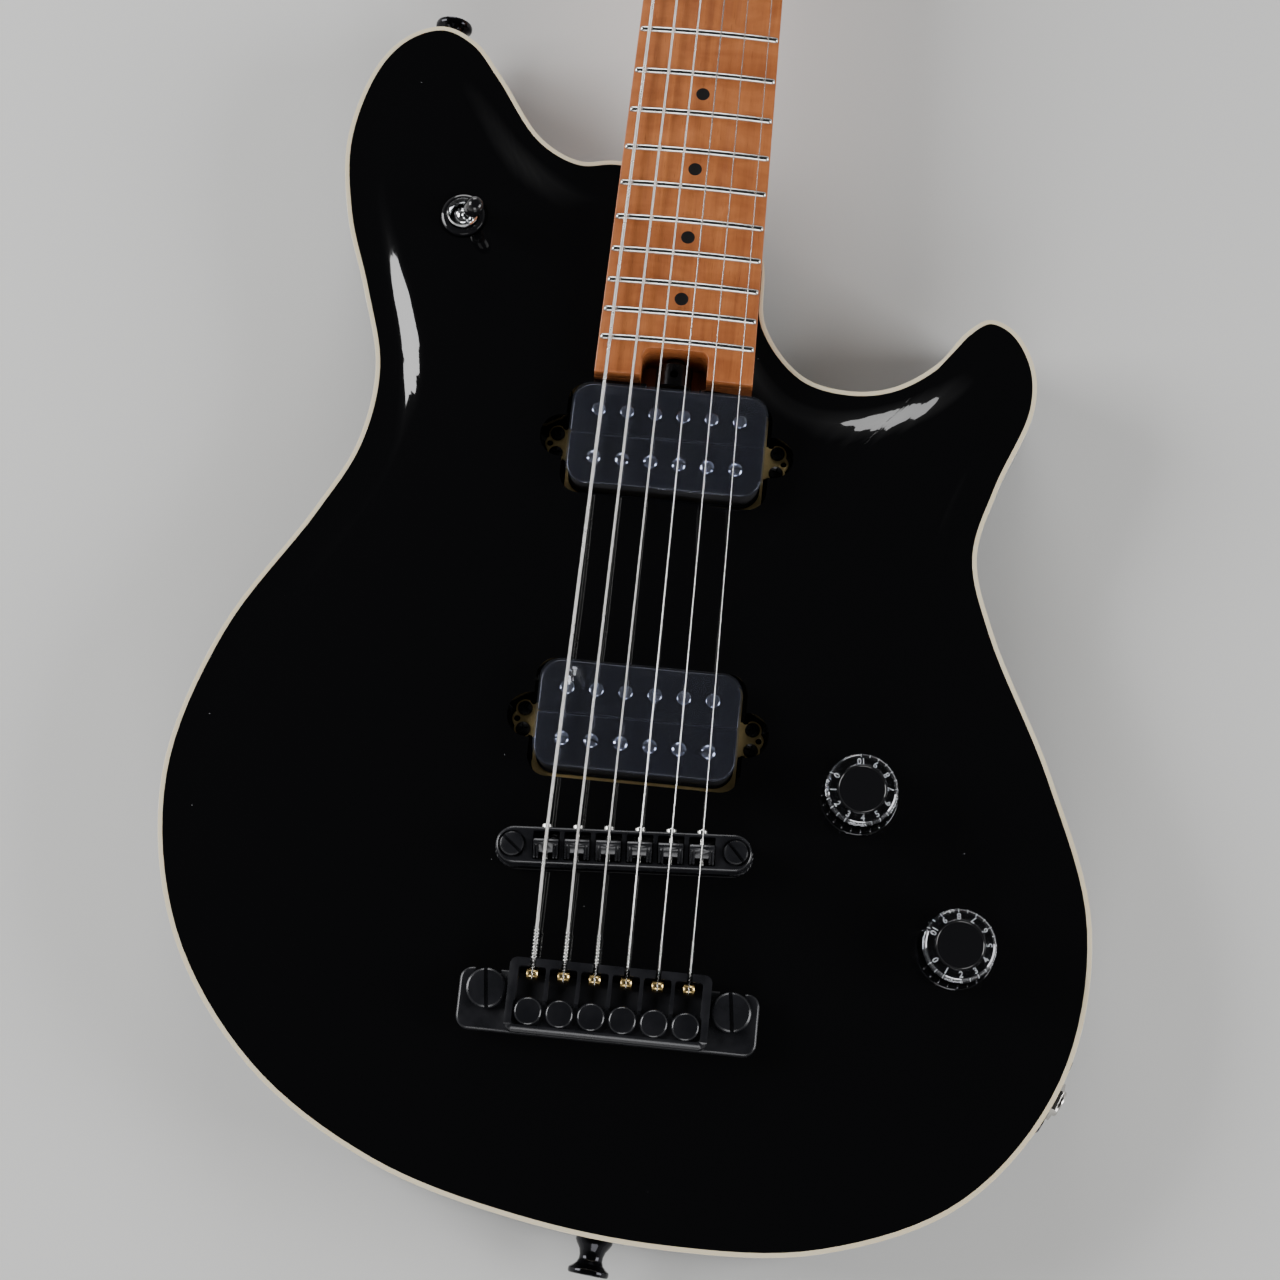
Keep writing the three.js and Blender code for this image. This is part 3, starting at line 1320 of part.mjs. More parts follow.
/** Everything that is routed, drilled or let into the body. */
function bodyCutters() {
  const high = EDGE_HEIGHT + ARCH_RISE + 5;
  const ledge = COVER_LEDGE + GAP;
  const coverFloor = COVER_THICKNESS + GAP;
  const pocket = neckPocket();
  const cutters = [pocket, neckScrewHoles(), ...pickups.map(pickupCavity)];
  cutters.push(plate(neckPlateShape(GAP), -1, PLATE_THICKNESS + GAP));
  cutters.push(plate(stretchedRound(controlWells, 0), -1, CAVITY_CEILING));
  cutters.push(plate(stretchedRound(controlWells, ledge), -1, coverFloor));
  cutters.push(plate(stretchedRound(switchWells, 0), -1, CAVITY_CEILING));
  cutters.push(plate(stretchedRound(switchWells, ledge), -1, coverFloor));

  for (const place of [volumePlace, tonePlace]) {
    const seat = seatHeight(place);
    cutters.push(bar(POT_BUSHING_RADIUS + GAP, CAVITY_CEILING - 1, high, ...place, 16));
    cutters.push(bar(POT_NUT_RADIUS + 1, seat, high, ...place, 16));
  }
  cutters.push(bar(SWITCH_BUSHING_RADIUS + GAP, CAVITY_CEILING - 1, high, ...switchPlace, 16));
  cutters.push(bar(SWITCH_NUT_RADIUS + 1, switchSeat, high, ...switchPlace, 24));

  for (const [, x] of bridgePostPlaces) {
    const floor = topUnderBridge(x) - POST_BITE;
    const hole = bar(BRIDGE_BUSH_RADIUS + GAP, floor, high, x, 0, 16);
    cutters.push(moved(hole, bridgeFrame));
  }
  for (const [, x] of studPlaces) {
    const floor = topHeight(x, studY) - STUD_BITE;
    cutters.push(bar(STUD_RADIUS + GAP, floor, high, x, studY, 16));
  }

  const seatSize = JACK_PLATE_SIZE / 2 + GAP;
  const jackSeat = block(-JACK_SEAT, 20, -seatSize, seatSize, -seatSize, seatSize);
  const jackHole = moved(bar(JACK_NUT_RADIUS + 2, -26, 5, 0, 0, 16), SIDEWAYS);
  cutters.push(moved(jackSeat.add(jackHole), jackFrame));
  for (const { frame } of strapPlaces) {
    const hole = bar(STRAP_SCREW_RADIUS + GAP, -STRAP_SCREW_LENGTH - 1, 5, 0, 0, 10);
    const seat = bar(STRAP_FLANGE_RADIUS + 0.5, -STRAP_SEAT, 10, 0, 0, 16);
    cutters.push(moved(moved(hole.add(seat), SIDEWAYS), frame));
  }

  const [neckPickup, bridgePickup] = pickups;
  const z = WIRE_HOLE_HEIGHT;
  const aside = PICKUP_LENGTH / 3;
  const sideWell = PICKUP_LENGTH / 2;
  const wireRuns = [
    [[aside, bridgePickup.y, z], [aside, neckPickup.y, z]],
    [[sideWell, bridgePickup.y, z], [...volumePlace, z]],
    [[-sideWell + WIRE_HOLE_RADIUS, neckPickup.y, z], [...switchPlace, z]],
  ];
  for (const [from, to] of wireRuns) cutters.push(barBetween(from, to, WIRE_HOLE_RADIUS));
  return cutters;
}

addPart("body", bodyBlank().subtract(wasm.Manifold.union(bodyCutters())), "blackLacquer");

function bindingStrip() {
  const toPlane = (points) => points.map((p) => new THREE.Vector2(p.x, p.y));
  const shape = new THREE.Shape(toPlane(outline));
  shape.holes.push(new THREE.Path(toPlane(inset(outline, BINDING_WIDTH)).reverse()));
  return plate(shape, EDGE_HEIGHT - BINDING_DEPTH, EDGE_HEIGHT).subtract(neckPocket());
}
addPart("binding", bindingStrip(), "creamPlastic");

for (const [name, wells] of [["control", controlWells], ["switch", switchWells]]) {
  const cover = plate(stretchedRound(wells, COVER_LEDGE), 0, COVER_THICKNESS);
  addPart(`${name}_cover`, cover, "blackPlastic");
}

export default guitar;
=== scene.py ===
import math

import bmesh
import bpy
from mathutils import Matrix, Vector


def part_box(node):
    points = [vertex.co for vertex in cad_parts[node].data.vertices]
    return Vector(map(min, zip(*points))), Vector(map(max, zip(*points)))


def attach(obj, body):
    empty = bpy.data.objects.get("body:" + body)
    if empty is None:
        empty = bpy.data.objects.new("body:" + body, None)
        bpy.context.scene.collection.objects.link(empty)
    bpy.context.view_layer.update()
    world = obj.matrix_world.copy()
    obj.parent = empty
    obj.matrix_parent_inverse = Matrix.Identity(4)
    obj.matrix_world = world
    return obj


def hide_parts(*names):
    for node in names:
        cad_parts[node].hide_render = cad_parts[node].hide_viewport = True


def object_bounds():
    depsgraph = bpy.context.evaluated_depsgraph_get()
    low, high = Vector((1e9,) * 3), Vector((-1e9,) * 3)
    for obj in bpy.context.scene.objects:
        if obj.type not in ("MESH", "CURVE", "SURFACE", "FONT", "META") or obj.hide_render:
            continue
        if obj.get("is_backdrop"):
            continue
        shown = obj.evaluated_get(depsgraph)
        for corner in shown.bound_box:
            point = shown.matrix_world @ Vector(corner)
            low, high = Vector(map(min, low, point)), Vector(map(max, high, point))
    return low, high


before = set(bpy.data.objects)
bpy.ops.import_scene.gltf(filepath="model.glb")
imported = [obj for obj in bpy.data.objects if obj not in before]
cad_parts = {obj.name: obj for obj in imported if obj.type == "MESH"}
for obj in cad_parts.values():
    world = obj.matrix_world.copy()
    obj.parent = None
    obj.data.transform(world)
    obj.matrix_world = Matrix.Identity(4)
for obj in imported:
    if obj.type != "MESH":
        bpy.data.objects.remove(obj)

# An electric guitar: an arched and bound body in gloss black with a bolted-on neck of roasted
# maple, two pickups, a six-saddle bridge and a tailpiece. Lengths are millimetres times MM.

cad_low, cad_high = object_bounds()

# ------------------------------------------------------------------ camera
# It stands over the end of the body and looks down along the strings. Its turn is given by
# the three headings of its picture: to the right, down and forward.

MM = 0.001
to_the_right = Vector((0.9949, 0.1007, -0.006)).normalized()
forward = Vector((-0.0314, 0.2527, -0.967)).normalized()
upward = to_the_right.cross(forward)
bpy.ops.object.camera_add(location=(0.0239, -0.1376, 0.8544))
camera = bpy.context.object
turn = Matrix((to_the_right, upward, -forward)).transposed()
camera.rotation_euler = turn.to_euler()
camera.data.lens = 67.5
camera.data.sensor_width = 36
camera.data.clip_start = 0.01
bpy.context.scene.camera = camera

# ------------------------------------------------------------------ body
# Solid wood: a flat back with a rounded edge, upright sides and a gently domed top, all in
# black lacquer polished to a mirror. The rebate round the top edge takes the binding.

OUTLINE = [
    (-30, 257), (-43, 255.5), (-58, 263), (-76, 287), (-87, 300), (-99.5, 305.5), (-112, 301),
    (-122.5, 288), (-130, 257), (-126, 226), (-116, 196.5), (-108, 167), (-111, 138),
    (-123, 112), (-150, 64), (-162.5, 11), (-151, -42), (-119, -84.5), (-74, -112),
    (-24, -125.5), (27, -130.5), (78, -126.5), (124, -105.5), (154, -63), (160.5, -11),
    (144, 40), (120.5, 90), (113, 117), (119, 143), (130, 174), (129, 191), (121, 204),
    (112, 207.5), (104, 202), (94, 188.5), (79, 178), (63, 175), (46, 179), (31, 197),
    (28, 222), (19, 243), (-5, 254),
]
OUTLINE_STEPS = 8
EDGE_HEIGHT = 40
ARCH_RISE = 10
ARCH_POWER = 2.4
ARCH_MIDDLE = 60
SANDED_EDGE = 17
BACK_ROUND = 4
BINDING_WIDTH = 1.6
BINDING_DEPTH = 6
SNUG = 0.05


def curve_through(points, steps):
    """The closed centripetal curve through points, as steps points for each of them."""
    smooth = []
    count = len(points)
    for i in range(count):
        a, b, c, d = (Vector(points[(i + k) % count]) for k in (-1, 0, 1, 2))
        ab, bc, cd = ((q - p).length ** 0.5 for p, q in ((a, b), (b, c), (c, d)))
        leave = ((b - a) / ab - (c - a) / (ab + bc) + (c - b) / bc) * bc
        reach = ((c - b) / bc - (d - b) / (bc + cd) + (d - c) / cd) * bc
        for k in range(steps):
            t = k / steps
            square = (-3 * b + 3 * c - 2 * leave - reach) * t * t
            cube = (2 * b - 2 * c + leave + reach) * t ** 3
            smooth.append(b + leave * t + square + cube)
    return smooth


def select_only(*pieces):
    """Deselects everything else and makes the first piece the active one."""
    bpy.ops.object.select_all(action="DESELECT")
    for piece in pieces:
        piece.select_set(True)
    bpy.context.view_layer.objects.active = pieces[0]


def edit(piece):
    """Opens a piece for shaping, with all of it selected."""
    select_only(piece)
    bpy.ops.object.mode_set(mode="EDIT")
    bpy.ops.mesh.select_mode(type="VERT")
    bpy.ops.mesh.select_all(action="SELECT")


def choose(piece, kind, test):
    """In edit mode, selects the verts, edges or faces that pass a test, and nothing else."""
    bpy.ops.mesh.select_mode(type={"verts": "VERT", "edges": "EDGE", "faces": "FACE"}[kind])
    bpy.ops.mesh.select_all(action="DESELECT")
    mesh = bmesh.from_edit_mesh(piece.data)
    for item in getattr(mesh, kind):
        if test(item):
            item.select_set(True)
    mesh.select_flush_mode()
    bmesh.update_edit_mesh(piece.data)


def close_edit():
    """Turns all faces outwards and ends the shaping."""
    bpy.ops.mesh.select_all(action="SELECT")
    bpy.ops.mesh.normals_make_consistent(inside=False)
    bpy.ops.object.mode_set(mode="OBJECT")


def use_modifier(piece, kind, **settings):
    """Adds a modifier with its settings and applies it."""
    select_only(piece)
    modifier = piece.modifiers.new(kind.title(), kind)
    for name, value in settings.items():
        setattr(modifier, name, value)
    bpy.ops.object.modifier_apply(modifier=modifier.name)


def soften(piece, width, segments=2, angle=32):
    """Rounds every edge sharper than an angle, width in millimetres."""
    use_modifier(
        piece, "BEVEL", width=width * MM, segments=segments, limit_method="ANGLE",
        angle_limit=math.radians(angle), use_clamp_overlap=True, harden_normals=False,
    )


def discard(*pieces):
    """Throws away pieces that were only there to make others."""
    for piece in pieces:
        bpy.data.objects.remove(piece)


def carve(piece, *cutters):
    """Cuts each cutter out of a piece and throws the cutter away."""
    for cutter in cutters:
        use_modifier(piece, "BOOLEAN", operation="DIFFERENCE", object=cutter, solver="EXACT")
        discard(cutter)


def weld(piece, *others):
    """Makes one closed solid of a piece and others that overlap it."""
    for other in others:
        use_modifier(piece, "BOOLEAN", operation="UNION", object=other, solver="EXACT")
        discard(other)
    return piece


def join(*pieces):
    """Makes one object of pieces that lie apart."""
    select_only(*pieces)
    bpy.ops.object.join()
    return pieces[0]


def copy_of(piece):
    """Another of the same piece, with a mesh of its own."""
    twin = piece.copy()
    twin.data = piece.data.copy()
    bpy.context.collection.objects.link(twin)
    return twin


def stand(piece, place):
    """Moves and turns a piece by a frame and leaves its place in its mesh."""
    select_only(piece)
    bpy.context.view_layer.update()
    piece.matrix_world = place @ piece.matrix_world
    bpy.ops.object.transform_apply(location=True, rotation=True, scale=True)
    return piece


def at(x, y, z, axis="Z", degrees=0):
    """A frame at a place in millimetres, turned about one axis."""
    return Matrix.Translation(Vector((x, y, z)) * MM) @ Matrix.Rotation(
        math.radians(degrees), 4, axis
    )


def plate(length, width, low, high, corner, x=0, y=0, steps=6):
    """A flat plate with upright round corners, in millimetres."""
    bpy.ops.mesh.primitive_cube_add(size=1, location=(x * MM, y * MM, (low + high) / 2 * MM))
    piece = bpy.context.object
    piece.scale = (length * MM, width * MM, (high - low) * MM)
    select_only(piece)
    bpy.ops.object.transform_apply(location=True, rotation=True, scale=True)
    if corner:
        edit(piece)
        choose(piece, "edges", lambda e: abs(e.verts[0].co.z - e.verts[1].co.z) > 1e-6)
        bpy.ops.mesh.bevel(offset=corner * MM, segments=steps, affect="EDGES")
        bpy.ops.mesh.select_all(action="SELECT")
        bpy.ops.mesh.remove_doubles(threshold=1e-7)
        bpy.ops.object.mode_set(mode="OBJECT")
    return piece


def disc(radius, low, high, x=0, y=0, sides=32):
    """An upright round bar, in millimetres."""
    bpy.ops.mesh.primitive_cylinder_add(
        vertices=sides, radius=radius * MM, depth=(high - low) * MM,
        location=(x * MM, y * MM, (low + high) / 2 * MM),
    )
    piece = bpy.context.object
    select_only(piece)
    bpy.ops.object.transform_apply(location=True, rotation=True, scale=True)
    return piece


def fix(piece, name, finish, body, slot, *replaced, angle=30):
    """Names a finished piece, gives it its finish and fixes it to the body that carries it."""
    select_only(piece)
    bpy.ops.object.transform_apply(location=True, rotation=True, scale=True)
    bpy.ops.object.shade_smooth_by_angle(angle=math.radians(angle))
    piece.name = piece.data.name = name
    piece.data.materials.clear()
    piece.data.materials.append(finish)
    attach(piece, body)
    if replaced:
        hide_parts(*replaced)
    return piece


def eased(share):
    """A share that starts and ends gently, held between 0 and 1."""
    share = min(max(share, 0), 1)
    return share * share * (3 - 2 * share)


def arch_height(share):
    """The height of the top at a share of the way from its middle to the binding."""
    return EDGE_HEIGHT + ARCH_RISE * (1 - share ** ARCH_POWER)


def sector_of(dx, dy, count):
    """Which of the equal sectors round a middle a direction lies in."""
    return int((math.atan2(dy, dx) / (2 * math.pi) + 1) * count) % count


def sanded_height(x, y, reaches, edge):
    """The height of the top with its ridges sanded out, eased to nothing at the binding."""
    heights = []
    for reach, count in ((0, 1), (5, 8), (10, 12), (15, 16)):
        for k in range(count):
            turn = 2 * math.pi * k / count
            dx = x + reach * math.cos(turn)
            dy = y + reach * math.sin(turn) - ARCH_MIDDLE
            reach_there = reaches[sector_of(dx, dy, len(reaches))]
            share = min(math.hypot(dx, dy) / reach_there, 1)
            heights.append(arch_height(share))
    ease = eased(edge / SANDED_EDGE)
    return EDGE_HEIGHT + (sum(heights) / len(heights) - EDGE_HEIGHT) * ease


outline = curve_through(OUTLINE, OUTLINE_STEPS)
bpy.ops.mesh.primitive_circle_add(vertices=len(outline), radius=1)
wood = bpy.context.object
for vertex, place in zip(wood.data.vertices, outline):
    vertex.co = (place.x * MM, place.y * MM, BACK_ROUND * MM)
edit(wood)
bpy.ops.mesh.edge_face_add()
rebate_floor = EDGE_HEIGHT - BINDING_DEPTH - SNUG
rise = (0, 0, (rebate_floor - BACK_ROUND) * MM)
bpy.ops.mesh.extrude_region_move(TRANSFORM_OT_translate={"value": rise})
bpy.ops.mesh.inset(thickness=(BINDING_WIDTH + SNUG) * MM, depth=0)
rise = (0, 0, (EDGE_HEIGHT - rebate_floor) * MM)
bpy.ops.mesh.extrude_region_move(TRANSFORM_OT_translate={"value": rise})
shares = [1 - 0.035 * k for k in range(1, 28)]
before = 1
for share in shares:
    height = arch_height(share)
    rise = (0, 0, (height - arch_height(before)) * MM)
    bpy.ops.mesh.extrude_region_move(TRANSFORM_OT_translate={"value": rise})
    shrink = share / before
    bpy.ops.transform.resize(
        value=(shrink, shrink, 1), center_override=(0, ARCH_MIDDLE * MM, height * MM)
    )
    before = share
bpy.ops.mesh.select_all(action="DESELECT")
bpy.ops.mesh.select_non_manifold()
bpy.ops.mesh.edge_face_add()
bpy.ops.mesh.select_all(action="SELECT")
bpy.ops.mesh.normals_make_consistent(inside=False)
choose(wood, "faces", lambda f: f.calc_center_median().z < 4.1 * MM and len(f.verts) > 50)
round_steps = 5
for k in range(round_steps):
    a, b = (math.pi / 2 * n / round_steps for n in (k, k + 1))
    inward = BACK_ROUND * (math.cos(a) - math.cos(b))
    down = BACK_ROUND * (math.sin(b) - math.sin(a))
    bpy.ops.mesh.inset(thickness=inward * MM, depth=down * MM)
close_edit()

# The dome is sanded smooth across the horns, where the rings that shaped it crowd together.
SECTORS = 1440
reaches = [0] * SECTORS
for before, after in zip(outline, outline[1:] + outline[:1]):
    for k in range(24):
        spot = before.lerp(after, k / 24)
        dx, dy = spot.x, spot.y - ARCH_MIDDLE
        sector = sector_of(dx, dy, SECTORS)
        reaches[sector] = max(reaches[sector], math.hypot(dx, dy) - BINDING_WIDTH)
for k in range(SECTORS):
    if not reaches[k]:
        reaches[k] = reaches[k - 1]
for vertex in wood.data.vertices:
    if vertex.co.z > (EDGE_HEIGHT + 0.01) * MM:
        x, y = vertex.co.x / MM, vertex.co.y / MM
        edge = min(math.hypot(p.x - x, p.y - y) for p in outline) - BINDING_WIDTH
        vertex.co.z = sanded_height(x, y, reaches, edge) * MM

# The rout for the neck's heel, the pickup routs, the cavities behind their covers, and the
# seats and holes of everything that is screwed on.
NECK_TILT = -1.5
NECK_FRAME = at(0, 0, 60.07588, "X", NECK_TILT)
BRIDGE_FRAME = at(0, -2.3, 0, "Z", 3.3)
SCALE_LENGTH = 648
PICKUP_LENGTH = 68.5
PICKUP_WIDTH = 37
STRING_CREST = 64
SADDLE_PITCH = 10.45
POST_X = 37.5
STUD_X = 40.8
STUD_Y = -52.6
VOLUME_PLACE = (77.5, 25)
TONE_PLACE = (114, -23.5)
WELL_FOOT = (128, -58)
SWITCH_PLACE = (-82.8, 227)
BOARD_END = 168.34
HEEL_MOUTH = BOARD_END + 94
NUT_WIDTH = 41.5
BOARD_END_WIDTH = 56.5
WOOD_TOP = -6.3
HEEL_DEPTH = 19
PICKUP_PLACES = {"neck": (145.04, 54.633), "bridge": (42.7, 57.653)}


def width_at(y):
    """The width of the neck at a place along it."""
    share = min(max((SCALE_LENGTH - y) / (SCALE_LENGTH - BOARD_END), 0), 1)
    return NUT_WIDTH + (BOARD_END_WIDTH - NUT_WIDTH) * share


def tapered(piece, margin):
    """Gives a block the taper of the neck, with a margin on each side."""
    for vertex in piece.data.vertices:
        y = vertex.co.y / MM
        vertex.co.x = math.copysign((width_at(y) / 2 + margin) * MM, vertex.co.x)
    return piece


def spread_shape(circles, margin, low, high):
    """The shape of a band stretched round circles of (x, y, radius), between two heights."""
    rounds = [disc(r + margin, low, high, x, y, 48) for x, y, r in circles]
    shape = join(*rounds)
    edit(shape)
    bpy.ops.mesh.convex_hull()
    close_edit()
    return shape


pocket = plate(60, 190, WOOD_TOP - HEEL_DEPTH - 0.3, 40, 0, y=BOARD_END - 0.3 + 95)
stand(tapered(pocket, 0.3), NECK_FRAME)
carve(wood, copy_of(pocket))
carve(wood, stand(plate(19, 10, -19.5, 40, 0, y=BOARD_END - 1), NECK_FRAME))
for y, _ in PICKUP_PLACES.values():
    rout = plate(PICKUP_LENGTH + 4.8, PICKUP_WIDTH + 4.8, 24, 60, 7, y=y)
    carve(wood, rout, plate(PICKUP_LENGTH + 21.8, 15.8, 24, 60, 7.5, y=y))
control_wells = [(*VOLUME_PLACE, 22), (*TONE_PLACE, 22), (*WELL_FOOT, 14)]
switch_wells = [(*SWITCH_PLACE, 20)]
for wells in (control_wells, switch_wells):
    carve(wood, spread_shape(wells, 0, -1, 36), spread_shape(wells, 6.3, -1, 2.3))
for knob in ("volume_knob", "tone_knob"):
    knob_low, knob_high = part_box(knob)
    x, y = ((knob_low + knob_high) / 2 / MM)[:2]
    seat = knob_high.z / MM - 16.7
    carve(wood, disc(4.6, 30, 60, x, y), disc(8, seat, 60, x, y))
carve(wood, disc(6.1, 30, 60, *SWITCH_PLACE), disc(9, 44.87, 60, *SWITCH_PLACE))
for x in (-POST_X, POST_X):
    carve(wood, stand(disc(5.3, 29, 60, x, 0), BRIDGE_FRAME))
for x in (-STUD_X, STUD_X):
    carve(wood, disc(4.3, 25, 60, x, STUD_Y))
outwards = Matrix.Rotation(math.pi / 2, 4, "Y")
JACK_FRAME = at(151.977, -66.754, 20, "Z", -23.243)
carve(wood, stand(plate(20, 27.6, -13.8, 13.8, 0, x=8.8), JACK_FRAME))
carve(wood, stand(disc(9, -26, 5), JACK_FRAME @ outwards))
STRAP_FRAMES = {
    "horn": at(-99.5, 305.5, 20, "Z", 87.602),
    "end": at(2.598, -129.154, 20, "Z", 264.605),
}
for place in STRAP_FRAMES.values():
    seat = disc(7.5, -1.3, 10, sides=40)
    carve(wood, stand(seat, place @ outwards))
carve(wood, plate(44.6, 50.6, -1, 2.5, 6.3, y=BOARD_END + 35))


def node(tree, kind, inputs=None, **settings):
    """Adds a shader node, sets its options and fills or links its inputs."""
    made = tree.nodes.new(kind)
    for name, value in settings.items():
        setattr(made, name, value)
    for key, value in (inputs or {}).items():
        if isinstance(value, bpy.types.NodeSocket):
            tree.links.new(value, made.inputs[key])
        else:
            made.inputs[key].default_value = value
    return made


def feed(tree, target, **sockets):
    """Links outputs to a node's inputs, each by the input's name."""
    for label, socket in sockets.items():
        tree.links.new(socket, target.inputs[label.replace("_", " ")])


def own_place(tree):
    """The place on the object itself, which a finish is laid out by."""
    return node(tree, "ShaderNodeTexCoord").outputs["Object"]


def noise(tree, scale, detail, place=None, output="Fac", **settings):
    """Cloudy noise on the object, or on a place that is worked out for it."""
    if place is None:
        place = own_place(tree)
    inputs = {"Vector": place, "Scale": scale, "Detail": detail, **settings}
    return node(tree, "ShaderNodeTexNoise", inputs).outputs[output]


def maths(tree, operation, *values, clamp=False):
    """The result of one sum."""
    return node(
        tree, "ShaderNodeMath", dict(enumerate(values)), operation=operation, use_clamp=clamp
    ).outputs[0]


def spread(tree, value, low, high):
    """A value spread so that low becomes 0 and high becomes 1."""
    inputs = {"Value": value, "From Min": low, "From Max": high}
    return node(tree, "ShaderNodeMapRange", inputs).outputs[0]


def drawn_out(tree, scale):
    """The place on the object, scaled along each axis, so that noise on it is drawn out."""
    inputs = {"Vector": own_place(tree), "Scale": scale}
    return node(tree, "ShaderNodeMapping", inputs).outputs[0]


def bumped(tree, height, strength, distance):
    """The normals of a surface with low relief, its distance in metres."""
    inputs = {"Height": height, "Strength": strength, "Distance": distance}
    return node(tree, "ShaderNodeBump", inputs).outputs[0]


def new_group(name, inputs, outputs):
    """A shader node group with named inputs, and its two end nodes."""
    group = bpy.data.node_groups.new(name, "ShaderNodeTree")
    for label, default in inputs:
        socket = group.interface.new_socket(
            name=label, in_out="INPUT", socket_type="NodeSocketFloat"
        )
        socket.default_value = default
    for label, kind in outputs:
        group.interface.new_socket(name=label, in_out="OUTPUT", socket_type=kind)
    return group, group.nodes.new("NodeGroupInput"), group.nodes.new("NodeGroupOutput")


def new_finish(name, **settings):
    """A material, its tree and its shader, with what is the same all over set on the shader."""
    material = bpy.data.materials.new(name)
    material.use_nodes = True
    tree = material.node_tree
    shader = tree.nodes["Principled BSDF"]
    for label, value in settings.items():
        shader.inputs[label.replace("_", " ")].default_value = value
    return material, tree, shader


def mixed(tree, mask, first, second):
    """A colour that goes from the first to the second where a mask is."""
    made = node(tree, "ShaderNodeMix", {"Factor": mask}, data_type="RGBA")
    for label, value in (("A", first), ("B", second)):
        socket = [s for s in made.inputs if s.name == label and s.type == "RGBA"][0]
        if isinstance(value, bpy.types.NodeSocket):
            tree.links.new(value, socket)
        else:
            socket.default_value = (*value, 1)
    return [s for s in made.outputs if s.type == "RGBA"][0]


def skinned(name, group, levels, mask, colour, other_colour, **settings):
    """A finish with a skin from a shared group, of two colours that one of its masks parts."""
    material, tree, shader = new_finish(name, **settings)
    skin = node(tree, "ShaderNodeGroup", levels, node_tree=group)
    colours = mixed(tree, skin.outputs[mask], colour, other_colour)
    feed(
        tree, shader, Base_Color=colours, Roughness=skin.outputs["Roughness"],
        Normal=skin.outputs["Normal"],
    )
    return material


# Polished surfaces: a faint ripple from spraying and buffing, hair-fine swirls in the shine
# and a little dust that has settled.
polish, inward, outward = new_group(
    "polished skin",
    [("Ripple Depth", 0.1), ("Shine", 0.04), ("Dust", 0.3)],
    [("Dust", "NodeSocketFloat"), ("Roughness", "NodeSocketFloat"), ("Normal", "NodeSocketVector")],
)
ripple = noise(polish, 260, 2)
bump = bumped(polish, ripple, inward.outputs["Ripple Depth"], 0.00004)
haze = noise(polish, 14, 5)
specks = node(
    polish, "ShaderNodeTexVoronoi", {"Vector": own_place(polish), "Scale": 95, "Randomness": 1}
)
near = maths(polish, "LESS_THAN", specks.outputs["Distance"], 0.016)
tone = node(polish, "ShaderNodeSeparateColor", {"Color": specks.outputs["Color"]})
few = maths(polish, "GREATER_THAN", tone.outputs[0], 0.72)
settled = maths(polish, "MULTIPLY", near, few)
dust = maths(polish, "MULTIPLY", settled, inward.outputs["Dust"])
shine = maths(polish, "MULTIPLY_ADD", haze, 0.04, inward.outputs["Shine"])
rough = maths(polish, "ADD", shine, dust, clamp=True)
feed(polish, outward, Dust=dust, Roughness=rough, Normal=bump)


def polished(name, colour, dusty, ripple_depth=0.1, shine=0.02, dust=0.3, **settings):
    """A polished finish of one colour, with its dust in another."""
    levels = {"Ripple Depth": ripple_depth, "Shine": shine, "Dust": dust}
    return skinned(name, polish, levels, "Dust", colour, dusty, **settings)


lacquer = polished(
    "black lacquer", (0.0022, 0.0022, 0.0026), (0.5, 0.5, 0.52), dust=0.35,
    Coat_Weight=0.6, Coat_Roughness=0.015, IOR=1.45,
)
fix(wood, "body_wood", lacquer, "guitar", "lacquered_wood", "body", angle=24)

# ------------------------------------------------------------------ binding
# A strip of cream plastic, let into the rebate round the top and scraped flush. Its outer
# corner is rounded with the body's, and its ends stop at the neck.

bpy.ops.mesh.primitive_circle_add(vertices=len(outline), radius=1)
strip = bpy.context.object
for vertex, place in zip(strip.data.vertices, outline):
    vertex.co = (place.x * MM, place.y * MM, (EDGE_HEIGHT - BINDING_DEPTH) * MM)
edit(strip)
bpy.ops.mesh.edge_face_add()
bpy.ops.mesh.inset(thickness=BINDING_WIDTH * MM, depth=0)
bpy.ops.mesh.delete(type="FACE")
bpy.ops.mesh.select_all(action="SELECT")
bpy.ops.mesh.extrude_region_move(TRANSFORM_OT_translate={"value": (0, 0, BINDING_DEPTH * MM)})
close_edit()
carve(strip, pocket)
soften(strip, 0.35, 3, 50)
binding_finish, tree, shader = new_finish(
    "cream plastic", Subsurface_Weight=0.15, Subsurface_Radius=(0.002, 0.0015, 0.0008),
    Coat_Weight=0.5, Coat_Roughness=0.03,
)
yellowing = noise(tree, 11, 4)
scrape = noise(tree, 900, 2)
feed(
    tree, shader, Base_Color=mixed(tree, yellowing, (0.86, 0.78, 0.60), (0.78, 0.66, 0.44)),
    Roughness=maths(tree, "MULTIPLY_ADD", scrape, 0.12, 0.16),
    Normal=bumped(tree, scrape, 0.2, 0.00003),
)
fix(strip, "binding_strip", binding_finish, "guitar", "binding_plastic", "binding")

# ------------------------------------------------------------------ neck
# Roasted maple in one length: a square heel that lies in the pocket, a rounded back, and a
# three-a-side headstock that tilts back a little. It is oiled, so the grain stays open.

HEAD_FRAME = at(0, 652.611, 36.6845, "X", -4.5)
HEADSTOCK_THICKNESS = 14
